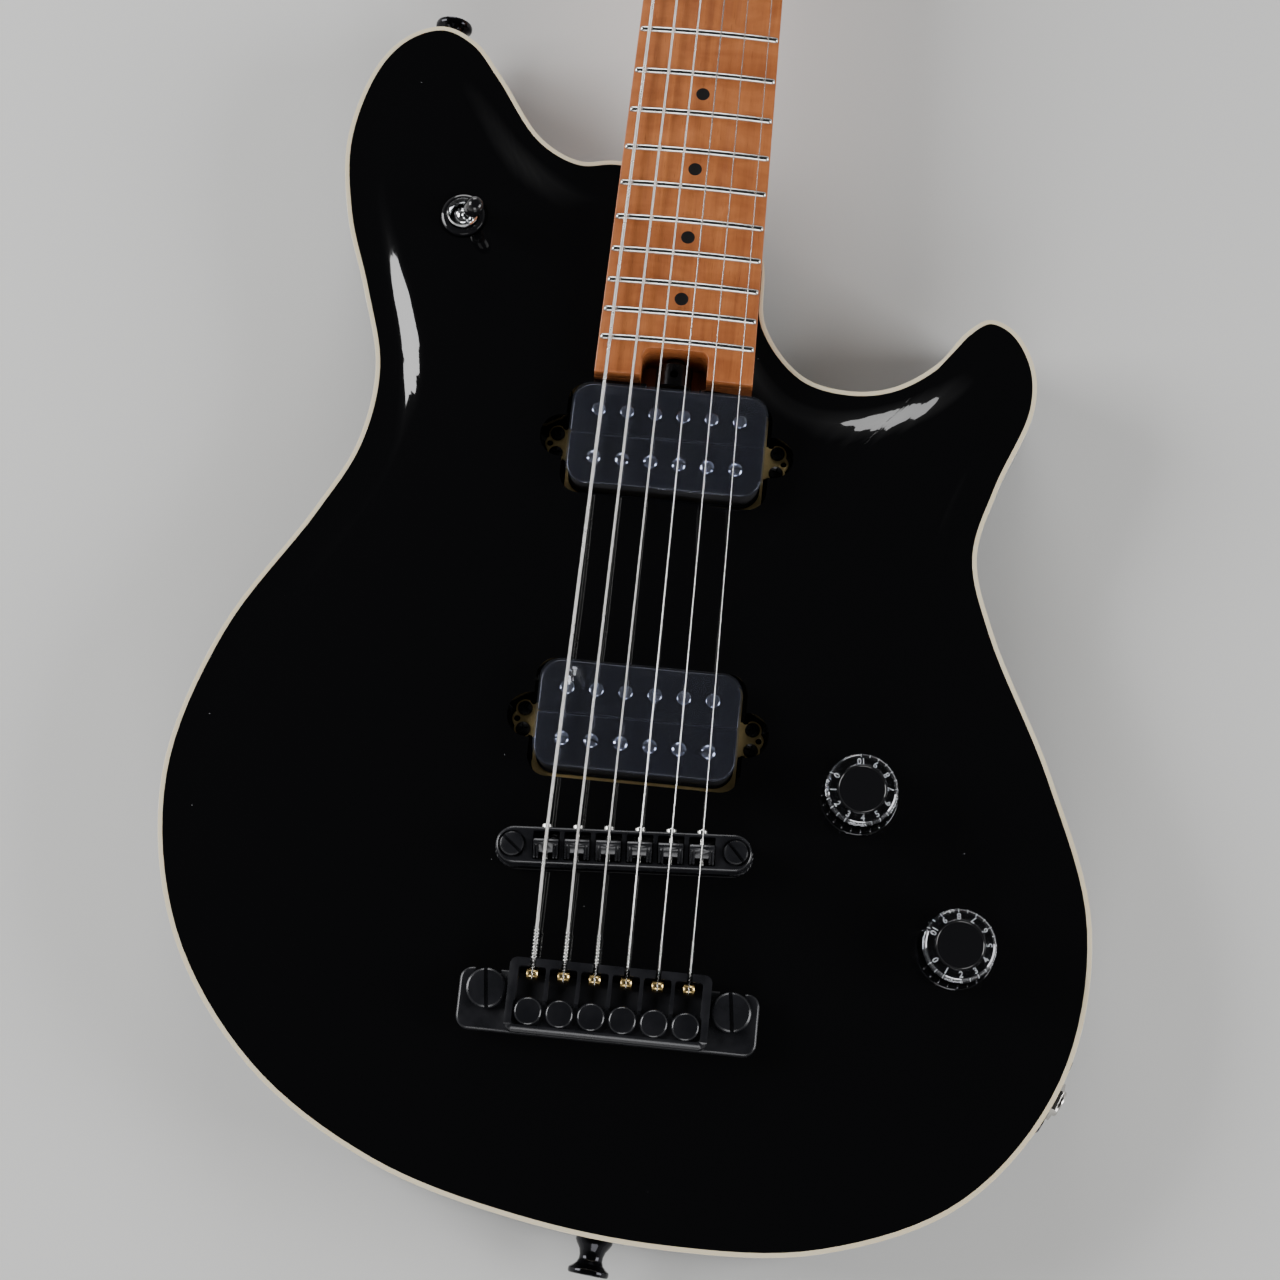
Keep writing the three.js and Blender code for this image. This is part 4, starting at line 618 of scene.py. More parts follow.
# Place along the neck, depth below the board, and how square the section is there.
NECK_STATIONS = [
    (BOARD_END, 19, 10), (HEEL_MOUTH, 19, 10), (HEEL_MOUTH + 9.6, 17.7, 4.5),
    (HEEL_MOUTH + 24, 16.4, 2.4), (324, 16.4, 2.4), (611.6, 14.6, 2.1), (656, 14.6, 2.1),
    (662, 13.6, 2.1),
]
TUNER_PLACES = {
    number: (-24, 38 + 41 * (number - 1)) if number < 4 else (24, 38 + 41 * (6 - number))
    for number in range(1, 7)
}


def skin_over(rings):
    """A closed skin over rings of points in millimetres, with both ends filled."""
    count = len(rings[0])
    points = [tuple(v * MM for v in p) for ring in rings for p in ring]
    faces = []
    for r in range(len(rings) - 1):
        for i in range(count):
            a, b = r * count + i, r * count + (i + 1) % count
            faces.append((a, b, b + count, a + count))
    faces.append(tuple(range(count)))
    faces.append(tuple(range((len(rings) - 1) * count, len(rings) * count)))
    mesh = bpy.data.meshes.new("skin")
    mesh.from_pydata(points, [], faces)
    piece = bpy.data.objects.new("skin", mesh)
    bpy.context.collection.objects.link(piece)
    edit(piece)
    close_edit()
    return piece


def neck_section(y):
    """One section of the neck's back, eased between its stations."""
    for before, after in zip(NECK_STATIONS, NECK_STATIONS[1:]):
        if y <= after[0]:
            break
    share = (y - before[0]) / (after[0] - before[0])
    if after[0] < 330:
        share = eased(share)
    depth, square = (before[k] + (after[k] - before[k]) * share for k in (1, 2))
    ring = []
    for k in range(41):
        angle = math.pi * k / 40
        side = math.cos(angle)
        x = math.copysign(abs(side) ** (2 / square), side) * width_at(y) / 2
        ring.append((x, y, WOOD_TOP - depth * max(math.sin(angle), 0) ** (2 / square)))
    return ring


def outline_plate(points, low, high):
    """A plate with the outline of a list of (x, y), between two heights."""
    bpy.ops.mesh.primitive_circle_add(vertices=len(points), radius=1)
    piece = bpy.context.object
    for vertex, (x, y) in zip(piece.data.vertices, points):
        vertex.co = (x * MM, y * MM, low * MM)
    edit(piece)
    bpy.ops.mesh.edge_face_add()
    rise = (0, 0, (high - low) * MM)
    bpy.ops.mesh.extrude_region_move(TRANSFORM_OT_translate={"value": rise})
    bpy.ops.mesh.select_all(action="DESELECT")
    bpy.ops.mesh.select_non_manifold()
    bpy.ops.mesh.edge_face_add()
    close_edit()
    return piece


def bends(*curves, steps=12):
    """Points along cubic curves, each given by its start, its two pulls and its end."""
    points = []
    for a, b, c, d in curves:
        for k in range(steps):
            t = k / steps
            u = 1 - t
            weights = (u ** 3, 3 * u * u * t, 3 * u * t * t, t ** 3)
            points.append(tuple(
                sum(w * p[axis] for w, p in zip(weights, (a, b, c, d))) for axis in (0, 1)
            ))
    return points


blends = [HEEL_MOUTH + 2 * k for k in range(0, 13)]
along = [BOARD_END, BOARD_END + 45, BOARD_END + 90, *blends]
along += [HEEL_MOUTH + 24 + 17 * k for k in range(1, 22)] + [650, 654, 656, 658, 660, 662]
neck = stand(skin_over([neck_section(y) for y in along]), NECK_FRAME)
half = NUT_WIDTH / 2
right_side = bends(
    ((half, 0), (half, 16), (38, 14), (38, 36)),
    ((38, 36), (37.6, 60), (35.4, 90), (35, 108)),
    ((35, 108), (34, 130), (24, 148), (14, 157)),
    ((14, 157), (9.5, 159.6), (4.7, 160.9), (0, 161)),
)
left_side = [(-x, y) for x, y in reversed(right_side)]
headstock = outline_plate(right_side + [(0, 161)] + left_side, -HEADSTOCK_THICKNESS, 0)
soften(headstock, 1.6, 3, 50)
for x, y in TUNER_PLACES.values():
    carve(headstock, disc(5, -16, 2, x, y))
weld(neck, stand(headstock, HEAD_FRAME))
carve(neck, stand(plate(46, 16, 0, 6, 0, y=8), HEAD_FRAME))
notch_cutter = plate(23.5, 21, -19.5, 4, 3, y=BOARD_END)
carve(neck, stand(copy_of(notch_cutter), NECK_FRAME))
rod_way = disc(3.4, 0, 470)
lying = Matrix.Rotation(-math.pi / 2, 4, "X")
carve(neck, stand(rod_way, NECK_FRAME @ at(0, BOARD_END - 1, -12) @ lying))

# Roasted maple: grain lines along the neck, cloudy bands across them and short dark pores.
maple, inward, outward = new_group(
    "maple figure",
    [("Line Scale", 1.0), ("Cloud", 0.5), ("Pore Depth", 0.3)],
    [("Light", "NodeSocketFloat"), ("Pores", "NodeSocketFloat"),
     ("Roughness", "NodeSocketFloat"), ("Normal", "NodeSocketVector")],
)
stretched = drawn_out(maple, (1, 0.045, 1))
sway = noise(maple, 90, 3, stretched, output="Color")
swayed = node(
    maple, "ShaderNodeVectorMath", {0: sway, 1: (0.012, 0.0, 0.012), 2: stretched},
    operation="MULTIPLY_ADD",
).outputs[0]
line_scale = maths(maple, "MULTIPLY", inward.outputs["Line Scale"], 420)
lines = noise(maple, line_scale, 5, swayed, Roughness=0.62)
across = drawn_out(maple, (0.45, 1, 0.45))
clouds = noise(maple, 95, 4, across, Roughness=0.6, Distortion=0.6)
clouds = spread(maple, clouds, 0.32, 0.7)
lines = spread(maple, lines, 0.3, 0.7)
blend = node(maple, "ShaderNodeMix", {"Factor": inward.outputs["Cloud"]}, data_type="FLOAT")
feed(maple, blend, A=lines, B=clouds)
fine = drawn_out(maple, (1, 0.09, 1))
pores = noise(maple, 2100, 2, fine)
pores = spread(maple, pores, 0.62, 0.78)
sheen = maths(maple, "MULTIPLY_ADD", lines, -0.16, 0.46)
sunk = maths(maple, "SUBTRACT", lines, pores)
bump = bumped(maple, sunk, inward.outputs["Pore Depth"], 0.00006)
feed(maple, outward, Light=blend.outputs[0], Pores=pores, Roughness=sheen, Normal=bump)


def roasted_maple(name, dark, light, pore, line_scale, cloud, pore_depth, **settings):
    """A maple finish between two browns, with pores of a third."""
    material, tree, shader = new_finish(name, **settings)
    levels = {"Line Scale": line_scale, "Cloud": cloud, "Pore Depth": pore_depth}
    figure = node(tree, "ShaderNodeGroup", levels, node_tree=maple)
    wood_colour = mixed(tree, figure.outputs["Light"], dark, light)
    shade = maths(tree, "MULTIPLY", figure.outputs["Pores"], 0.55)
    feed(
        tree, shader, Base_Color=mixed(tree, shade, wood_colour, pore),
        Roughness=figure.outputs["Roughness"], Normal=figure.outputs["Normal"],
    )
    return material


neck_maple = roasted_maple(
    "roasted maple neck", (0.25, 0.070, 0.020), (0.50, 0.175, 0.058), (0.11, 0.030, 0.010),
    1.0, 0.35, 0.25, Coat_Weight=0.15, Coat_Roughness=0.3,
)
fix(neck, "neck_wood", neck_maple, "guitar", "roasted_maple", "neck")

# ------------------------------------------------------------------ fingerboard
# A crowned slab of the same roasted maple with rolled edges, notched at its end for the truss
# rod's wheel. Black dots are let into it at every marked fret, and small ones into its side.

CROWN_RADIUS = 305


def crown(x):
    """How far the board's top has fallen at a distance from its middle."""
    return x * x / (2 * CROWN_RADIUS)


def fret_place(number):
    """How far a fret lies from the saddles, by the even-tempered rule."""
    return SCALE_LENGTH * 2 ** (-number / 12)


def crowned(piece, margin, steps=20):
    """Splits a block across the neck, tapers it and gives its top the crown."""
    edit(piece)
    choose(piece, "edges", lambda e: abs(e.verts[0].co.x - e.verts[1].co.x) > 0.02)
    bpy.ops.mesh.subdivide(number_cuts=steps)
    bpy.ops.object.mode_set(mode="OBJECT")
    reach = max(v.co.x for v in piece.data.vertices)
    high = max(v.co.z for v in piece.data.vertices)
    for vertex in piece.data.vertices:
        vertex.co.x *= (width_at(vertex.co.y / MM) / 2 + margin) * MM / reach
        if vertex.co.z > high - 1e-6:
            vertex.co.z -= crown(vertex.co.x / MM) * MM
    return piece


board_length = SCALE_LENGTH - 0.3 - BOARD_END
board = crowned(plate(56, board_length, -6.25, 0, 0, y=BOARD_END + board_length / 2), 0)
carve(board, notch_cutter)
soften(board, 0.9, 4, 50)
board_maple = roasted_maple(
    "roasted maple board", (0.27, 0.072, 0.019), (0.58, 0.20, 0.064), (0.14, 0.036, 0.010),
    0.8, 0.55, 0.3, Coat_Weight=0.1, Coat_Roughness=0.35,
)
fix(stand(board, NECK_FRAME), "fingerboard_wood", board_maple, "guitar", "roasted_maple",
    "fingerboard")

dots = []
for number in (3, 5, 7, 9, 12, 15, 17, 19, 21):
    y = (fret_place(number) + fret_place(number - 1)) / 2
    for x in ((-9, 9) if number == 12 else (0,)):
        dots.append(disc(2.5, -1.5, 0.03 - crown(x), x, y, 28))
    side = disc(1.1, -0.6, 0.06, sides=20)
    edge = at(-width_at(y) / 2, y, -2.8) @ Matrix.Rotation(-math.pi / 2, 4, "Y")
    dots.append(stand(side, edge))
    if number == 12:
        dots.append(stand(disc(1.1, -0.6, 0.06, sides=20), at(0, 5, 0) @ edge))
dots = stand(join(*dots), NECK_FRAME)
soften(dots, 0.04, 1)
dot_finish = polished("black dot", (0.012, 0.011, 0.011), (0.2, 0.2, 0.2), shine=0.28, dust=0.1)
fix(dots, "position_dots", dot_finish, "guitar", "cover_plastic")

# ------------------------------------------------------------------ frets
# Nickel-silver wire with a rounded crown, pressed into slots and bent to the board's curve.
# The ends are filed to small smooth noses, just short of the board's edges.

FRET_WIDTH = 2.3
FRET_HEIGHT = 1.1
frets = []
for number in range(1, 23):
    y = fret_place(number)
    half = width_at(y) / 2 - 0.5
    inner = [-half + 1.3 + (2 * half - 2.6) * k / 10 for k in range(11)]
    rings = []
    ends = [(0, 0.3), (0.12, 0.55), (0.4, 0.82), (0.8, 0.96)]
    places = [(-half + d, s) for d, s in ends] + [(x, 1) for x in inner]
    places += [(half - d, s) for d, s in reversed(ends)]
    for x, fullness in places:
        wide = FRET_WIDTH / 2 * min(1, 0.45 + 0.55 * fullness)
        base = -crown(x) - 0.3
        ring = [(x, y + wide, base), (x, y - wide, base)]
        for k in range(9):
            angle = math.pi * (1 - k / 8)
            rise = FRET_HEIGHT * fullness * math.sin(angle)
            ring.append((x, y + wide * math.cos(angle), rise - crown(x)))
        rings.append(ring)
    frets.append(skin_over(rings))
frets = stand(join(*frets), NECK_FRAME)

# Drawn and polished metal: fine scratches one way, and a faint tarnish in patches.
drawn, inward, outward = new_group(
    "drawn metal",
    [("Shine", 0.2), ("Scratch", 0.2), ("Tarnish", 0.4)],
    [("Tarnish", "NodeSocketFloat"), ("Roughness", "NodeSocketFloat"),
     ("Normal", "NodeSocketVector")],
)
combed = drawn_out(drawn, (0.08, 1, 1))
scratches = noise(drawn, 3200, 3, combed)
patches = noise(drawn, 210, 5)
patches = spread(drawn, patches, 0.45, 0.75)
tarnish = maths(drawn, "MULTIPLY", patches, inward.outputs["Tarnish"])
streaky = maths(drawn, "MULTIPLY_ADD", scratches, 0.12, inward.outputs["Shine"])
dulled = maths(drawn, "MULTIPLY_ADD", tarnish, 0.2, streaky, clamp=True)
bump = bumped(drawn, scratches, inward.outputs["Scratch"], 0.00003)
feed(drawn, outward, Tarnish=tarnish, Roughness=dulled, Normal=bump)


def bright_metal(name, colour, tarnished, shine, scratch, tarnish_share, **settings):
    """A bare metal finish, with the colour that it tarnishes to."""
    levels = {"Shine": shine, "Scratch": scratch, "Tarnish": tarnish_share}
    return skinned(name, drawn, levels, "Tarnish", colour, tarnished, Metallic=1.0, **settings)


nickel_silver = bright_metal(
    "nickel silver", (0.66, 0.66, 0.64), (0.32, 0.30, 0.26), 0.12, 0.25, 0.6
)
fix(frets, "frets", nickel_silver, "guitar", "plain_steel", angle=50)

# ------------------------------------------------------------------ nut
# A block of black, hard plastic behind the board's end, crowned like the board, with one
# smooth slot for each string that falls away towards its tuner.

NUT_PITCH = 7.05
STRING_DIAMETERS = [1.17, 0.91, 0.66, 0.43, 0.33, 0.25]


def string_route(number):
    """Where a string lies: its ball, its saddle, the nut's front edge and its post."""
    side = number - 3.5
    x = side * SADDLE_PITCH
    saddle = BRIDGE_FRAME @ Vector((x * MM, 1.2 * MM, (STRING_CREST - crown(x)) * MM))
    x = side * NUT_PITCH
    crest = NECK_FRAME @ Vector((x * MM, SCALE_LENGTH * MM, (1.7 - crown(x)) * MM))
    x, y = TUNER_PLACES[number]
    reach = 3 + STRING_DIAMETERS[number - 1] / 2 + 0.12
    post = HEAD_FRAME @ Vector(((x - math.copysign(reach, x)) * MM, y * MM, 4 * MM))
    ball = Vector((side * SADDLE_PITCH, -46.4, 54.8)) * MM
    return [ball, saddle, crest, post]


def aimed(start, end):
    """The frame at a start whose Z points to an end, both in metres."""
    turn = (end - start).to_track_quat("Z", "Y").to_matrix().to_4x4()
    return Matrix.Translation(start) @ turn


nut = crowned(plate(41, 5, -6.25, 2.6, 0, y=650.5), -0.1)
stand(nut, NECK_FRAME)
for number in range(1, 7):
    _, _, crest, post = string_route(number)
    radius = STRING_DIAMETERS[number - 1] / 2 + 0.12
    slot = stand(disc(radius, -3, 9, sides=20), aimed(crest, post))
    cover = stand(copy_of(slot), at(0, 0, 4))
    slot = join(slot, cover)
    edit(slot)
    bpy.ops.mesh.convex_hull()
    close_edit()
    carve(nut, slot)
soften(nut, 0.3, 3, 40)
nut_finish = polished(
    "black nut", (0.010, 0.010, 0.011), (0.15, 0.15, 0.15), 0.3, shine=0.22, dust=0.15
)
fix(nut, "nut_block", nut_finish, "guitar", "nut_material", "nut")

# ------------------------------------------------------------------ truss rod
# Blackened steel. The rod lies in the neck, and its drilled wheel shows in the notch at the
# end of the board, where a pin through one of the holes turns it.


def turned(profile, sides=32):
    """A turned solid about Z, from a closed profile of (radius, height) in millimetres."""
    bpy.ops.mesh.primitive_circle_add(vertices=len(profile), radius=1)
    piece = bpy.context.object
    for vertex, (radius, height) in zip(piece.data.vertices, profile):
        vertex.co = (radius * MM, 0, height * MM)
    edit(piece)
    choose(piece, "edges", lambda e: all(v.co.x < 1e-7 for v in e.verts))
    bpy.ops.mesh.delete(type="EDGE")
    bpy.ops.mesh.select_all(action="SELECT")
    bpy.ops.mesh.spin(steps=sides, angle=2 * math.pi, center=(0, 0, 0), axis=(0, 0, 1))
    bpy.ops.mesh.select_all(action="SELECT")
    bpy.ops.mesh.remove_doubles(threshold=1e-7)
    close_edit()
    return piece


# Blackened and lightly oiled metal: satin, with worn edges hinted at by paler grain.
blackened, inward, outward = new_group(
    "blackened metal",
    [("Shine", 0.3), ("Grain", 0.3), ("Wear", 0.3)],
    [("Wear", "NodeSocketFloat"), ("Roughness", "NodeSocketFloat"),
     ("Normal", "NodeSocketVector")],
)
grain = noise(blackened, 2600, 2)
smears = noise(blackened, 120, 5)
smears = spread(blackened, smears, 0.4, 0.75)
worn = maths(blackened, "MULTIPLY", smears, inward.outputs["Wear"])
satin = maths(blackened, "MULTIPLY_ADD", smears, 0.12, inward.outputs["Shine"], clamp=True)
bump = bumped(blackened, grain, inward.outputs["Grain"], 0.00003)
feed(blackened, outward, Wear=worn, Roughness=satin, Normal=bump)


def black_metal(name, colour, worn_colour, shine, grain, wear, **settings):
    """A blackened metal finish, with the colour that it wears to."""
    levels = {"Shine": shine, "Grain": grain, "Wear": wear}
    return skinned(name, blackened, levels, "Wear", colour, worn_colour, **settings)


satin_black = black_metal(
    "satin black hardware", (0.012, 0.0125, 0.015), (0.03, 0.03, 0.036), 0.26, 0.35, 0.5,
    Metallic=0.35, Coat_Weight=0.25, Coat_Roughness=0.2,
)
black_steel = black_metal(
    "blackened steel", (0.018, 0.018, 0.02), (0.06, 0.058, 0.055), 0.24, 0.3, 0.5,
    Metallic=0.8,
)

crossways = Matrix.Rotation(math.pi / 2, 4, "X")
rod_low, rod_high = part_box("truss_rod")
rod_length = (rod_high.y - rod_low.y) / MM
rod = turned([
    (0, 0.2), (3.2, 0.2), (3.9, 0), (5.9, 0), (6.5, 0.6), (6.5, 8.4), (5.9, 9), (3.6, 9),
    (2.9, 9.6), (2.9, rod_length - 1), (0, rod_length - 1),
], 40)
for degrees in (0, 90):
    pin_hole = disc(1.5, -8, 8, sides=20)
    carve(rod, stand(pin_hole, at(0, 0, 4.5, "Z", degrees) @ crossways))
soften(rod, 0.15, 2, 50)
stand(rod, NECK_FRAME @ at(0, BOARD_END - 1, -12) @ lying)
fix(rod, "truss_rod_wheel", black_steel, "truss_rod", "black_hardware", "truss_rod")

# ------------------------------------------------------------------ neck plate
# A polished black plate let into the back, with rounded edges, and the four countersunk
# wood screws that go through it and the body into the heel.


def cross_screw(profile, reach, depth, top, sides=28):
    """A turned screw with a cross recess, cut to a depth below the top of its head."""
    screw = turned(profile, sides)
    for degrees in (0, 90):
        arm = plate(2 * reach, reach * 0.3, top - depth, top + 1, 0)
        carve(screw, stand(arm, at(0, 0, 0, "Z", degrees)))
    return screw


back_plate = plate(44, 50, 0, 2.2, 6, y=BOARD_END + 35)
over = Matrix.Rotation(math.pi, 4, "X")
countersink = [(0, -3), (2.3, -3), (2.3, -2.3), (4.5, -0.1), (4.5, 0.5), (0, 0.5)]
sink = turned(countersink)
wood_screw = cross_screw(
    [(0, -34), (0.6, -33), (2, -30), (2, -2.3), (4.2, -0.2), (3.9, 0), (2, 0.12), (0, 0.15)],
    2.6, 1.4, 0.15,
)
screws = []
for x in (-16, 16):
    for y in (-19, 19):
        spot = at(x, BOARD_END + 35 + y, 0.25) @ over
        carve(back_plate, stand(copy_of(sink), spot))
        screws.append(stand(copy_of(wood_screw), spot @ at(0, 0, 0, "Z", 20 + 7 * x + 3 * y)))
discard(sink, wood_screw)
soften(back_plate, 0.5, 3, 50)
mirror_black = black_metal(
    "black chrome", (0.02, 0.02, 0.023), (0.05, 0.05, 0.055), 0.07, 0.08, 0.3, Metallic=0.9,
)
fix(back_plate, "neck_back_plate", mirror_black, "guitar", "black_hardware", "neck_plate")
fix(join(*screws), "neck_screws", black_steel, "guitar", "black_hardware")

# ------------------------------------------------------------------ pickup base plates
# Thin sheet brass, a little dulled. Its square corners and its lobed ears show round the
# pickup, and each ear is held by two black cross-headed screws, with an open hole between.

brass = bright_metal(
    "sheet brass", (0.86, 0.66, 0.30), (0.46, 0.36, 0.15), 0.34, 0.35, 0.6
)
EARS = [(-39.5, -3.7), (-39.5, 3.7), (39.5, -3.7), (39.5, 3.7)]
for name, (y, z) in PICKUP_PLACES.items():
    place = at(0, y, z, "X", NECK_TILT)
    sheet = plate(70.5, 39, -15.5, -14.3, 4.2)
    for side in (-1, 1):
        ear = plate(6, 12.2, -15.5, -14.3, 0, x=side * 36)
        lobes = [disc(3.3, -15.5, -14.3, side * 39.5, s * 3.7, 32) for s in (-1, 1)]
        weld(ear, *lobes, disc(3.2, -15.5, -14.3, side * 40.6, 0, 32))
        for s in (-1, 1):
            carve(ear, disc(1.1, -17, -12, side * 36.9, s * 6.6, 20))
        weld(sheet, ear)
        carve(sheet, disc(1.1, -17, -12, side * 42, 0, 20))
    soften(sheet, 0.2, 2, 50)
    fix(stand(sheet, place), name + "_pickup_sheet", brass, "guitar", "brass_metal",
        name + "_pickup_plate")
    ear_screw = cross_screw(
        [(0, -25.5), (0.4, -25), (1.35, -22.5), (1.35, -14.3), (2.55, -14.3), (2.6, -13.9),
         (2.3, -13.2), (1.5, -12.8), (0, -12.65)],
        1.7, 0.95, -12.65, 24,
    )
    screws = [
        stand(copy_of(ear_screw), place @ at(x, s, 0, "Z", 31 * k + 12))
        for k, (x, s) in enumerate(EARS)
    ]
    discard(ear_screw)
    fix(join(*screws), name + "_pickup_screws", black_steel, "guitar", "black_hardware")

# ------------------------------------------------------------------ pickups
# Two black bobbins side by side, wound and taped. One has plain steel slugs and the other
# slotted screws, under a clear film that has never been peeled off and has begun to lift.

bobbin_finish = polished(
    "black bobbin", (0.008, 0.008, 0.010), (0.2, 0.2, 0.22), 0.25, shine=0.2, dust=0.2
)
tape_finish = black_metal(
    "coil tape", (0.012, 0.012, 0.014), (0.028, 0.028, 0.032), 0.5, 0.6, 0.6
)
film_finish, tree, shader = new_finish(
    "clear film", Transmission_Weight=0.99, IOR=1.42, Roughness=0.04,
    Coat_Weight=0.3, Coat_Roughness=0.03,
)
creases = noise(tree, 85, 3, Distortion=1.6)
mist = noise(tree, 40, 6)
feed(
    tree, shader, Base_Color=mixed(tree, mist, (0.70, 0.75, 0.98), (0.86, 0.90, 1.0)),
    Normal=bumped(tree, creases, 0.35, 0.0006),
)


FILM_LENGTH = PICKUP_LENGTH + 1.1
FILM_WIDTH = PICKUP_WIDTH + 1


def rounded_in(x, y, length, width, corner):
    """Brings a point that is outside the round corner of a rectangle onto its arc."""
    dx, dy = abs(x) - (length / 2 - corner), abs(y) - (width / 2 - corner)
    if dx > 0 and dy > 0:
        far = math.hypot(dx, dy)
        square = max(dx, dy)
        dx, dy = dx * square / far, dy * square / far
        x = math.copysign(length / 2 - corner + dx, x)
        y = math.copysign(width / 2 - corner + dy, y)
    return x, y


for name, (y, z) in PICKUP_PLACES.items():
    place = at(0, y, z, "X", NECK_TILT)
    flanges = [
        plate(PICKUP_LENGTH, PICKUP_WIDTH, foot, top, 7) for foot, top in ((-1.5, 0), (-14, -12.6))
    ]
    for flange in flanges:
        carve(flange, plate(80, 0.35, -16, 2, 0))
        soften(flange, 0.5, 3, 50)
    flanges = stand(join(*flanges), place)
    fix(flanges, name + "_bobbins", bobbin_finish, "guitar", "pickup_plastic", name + "_pickup")
    tape = plate(67.3, 35.8, -12.7, -1.4, 6.4)
    carve(tape, plate(80, 0.9, -16, 2, 0))
    soften(tape, 0.3, 2, 50)
    fix(stand(tape, place), name + "_coils", tape_finish, "guitar", "pickup_plastic")
    slug = turned([(0, -13), (2.4, -13), (2.4, 0.25), (2.15, 0.45), (0, 0.5)], 28)
    head = turned([
        (0, -13), (1.4, -13), (1.4, -1), (2.5, -1), (2.5, 0.35), (2.1, 0.75), (1.2, 1), (0, 1.05),
    ], 28)
    carve(head, plate(7, 0.95, 0, 2, 0))
    slugs, heads = [], []
    for k in range(6):
        x = (k - 2.5) * 10
        slugs.append(stand(copy_of(slug), place @ at(x, 9, 0)))
        heads.append(stand(copy_of(head), place @ at(x, -9, 0, "Z", (4, -12, 25, 2, -20, 8)[k])))
    discard(slug, head)
    fix(join(*slugs), name + "_slug_poles", nickel_silver, "guitar", "plain_steel")
    fix(join(*heads), name + "_screw_poles", nickel_silver, "guitar", "plain_steel")
    bpy.ops.mesh.primitive_grid_add(x_subdivisions=90, y_subdivisions=50, size=1)
    film = bpy.context.object
    for vertex in film.data.vertices:
        x, s = vertex.co.x * FILM_LENGTH, vertex.co.y * FILM_WIDTH
        x, s = rounded_in(x, s, FILM_LENGTH, FILM_WIDTH, 7.4)
        inside = min(FILM_LENGTH / 2 - abs(x), FILM_WIDTH / 2 - abs(s)) / 6
        ease = min(max(inside, 0), 1)
        rise = 0.45 + 0.8 * eased(inside)
        wave = 0.2 * math.sin(x * 0.21 + s * 0.33 + (1.2 if name == "neck" else 3))
        wave += 0.1 * math.sin(x * 0.53 - s * 0.41)
        blister = math.exp(-(((x + 22) + (s - 10.5) * 0.3) ** 2) / 5 - (s - 10.5) ** 2 / 16)
        blister *= 1.9 if name == "bridge" else 0.3
        vertex.co = (x * MM, s * MM, (rise + ease * wave + ease * blister) * MM)
    use_modifier(film, "SOLIDIFY", thickness=0.00008, offset=1)
    edit(film)
    close_edit()
    fix(stand(film, place), name + "_pickup_film", film_finish, "guitar", "pickup_plastic",
        angle=60)

# ------------------------------------------------------------------ bridge
# A satin black beam on two slotted posts, each with a thumbwheel under the beam and a
# bushing in the wood. Six saddles stand in its pockets, moved by small nickel screws.

beam = plate(86, 12.6, 51.8, 60.4, 6.2, steps=10)
soften(beam, 1.1, 4, 50)
for k in range(6):
    carve(beam, plate(8.95, 9.8, 54.8, 64, 0.5, x=(k - 2.5) * SADDLE_PITCH, steps=3))
for x in (-POST_X, POST_X):
    carve(beam, disc(3.5, 40, 70, x, 0), disc(4.7, 59.7, 70, x, 0, 40))
soften(beam, 0.2, 2, 60)
fix(stand(beam, BRIDGE_FRAME), "bridge_beam_bar", satin_black, "guitar", "black_hardware",
    "bridge_beam")

for side, x, heading in (("bass", -POST_X, -42), ("treble", POST_X, -50)):
    post = turned([
        (0, 30), (2.6, 30), (3.1, 31), (3.1, 49.3), (6, 49.3), (6.2, 49.6), (6.2, 51.2),
        (6, 51.5), (3.1, 51.5), (3.1, 60), (3.9, 60.2), (4, 60.6), (4, 61.2), (3.6, 61.7),
        (2.9, 61.9), (0, 61.9),
    ], 48)
    for vertex in post.data.vertices:
        sector = round(math.atan2(vertex.co.y, vertex.co.x) / math.radians(7.5))
        if math.hypot(vertex.co.x, vertex.co.y) > 5.9 * MM and sector % 2:
            vertex.co.x *= 0.95
            vertex.co.y *= 0.95
    slot = plate(10, 1.1, 61, 64, 0)
    carve(post, stand(slot, at(0, 0, 0, "Z", heading)))
    place = BRIDGE_FRAME @ at(x, 0, 0)
    fix(stand(post, place), "bridge_post_" + side + "_stud", satin_black, "guitar",
        "black_hardware", "bridge_post_" + side)
    bush = turned([(3.3, 30), (5, 30), (5, 48.2), (3.3, 48.2)], 40)
    fix(stand(bush, place), "bridge_bushing_" + side, black_steel, "guitar", "black_hardware")

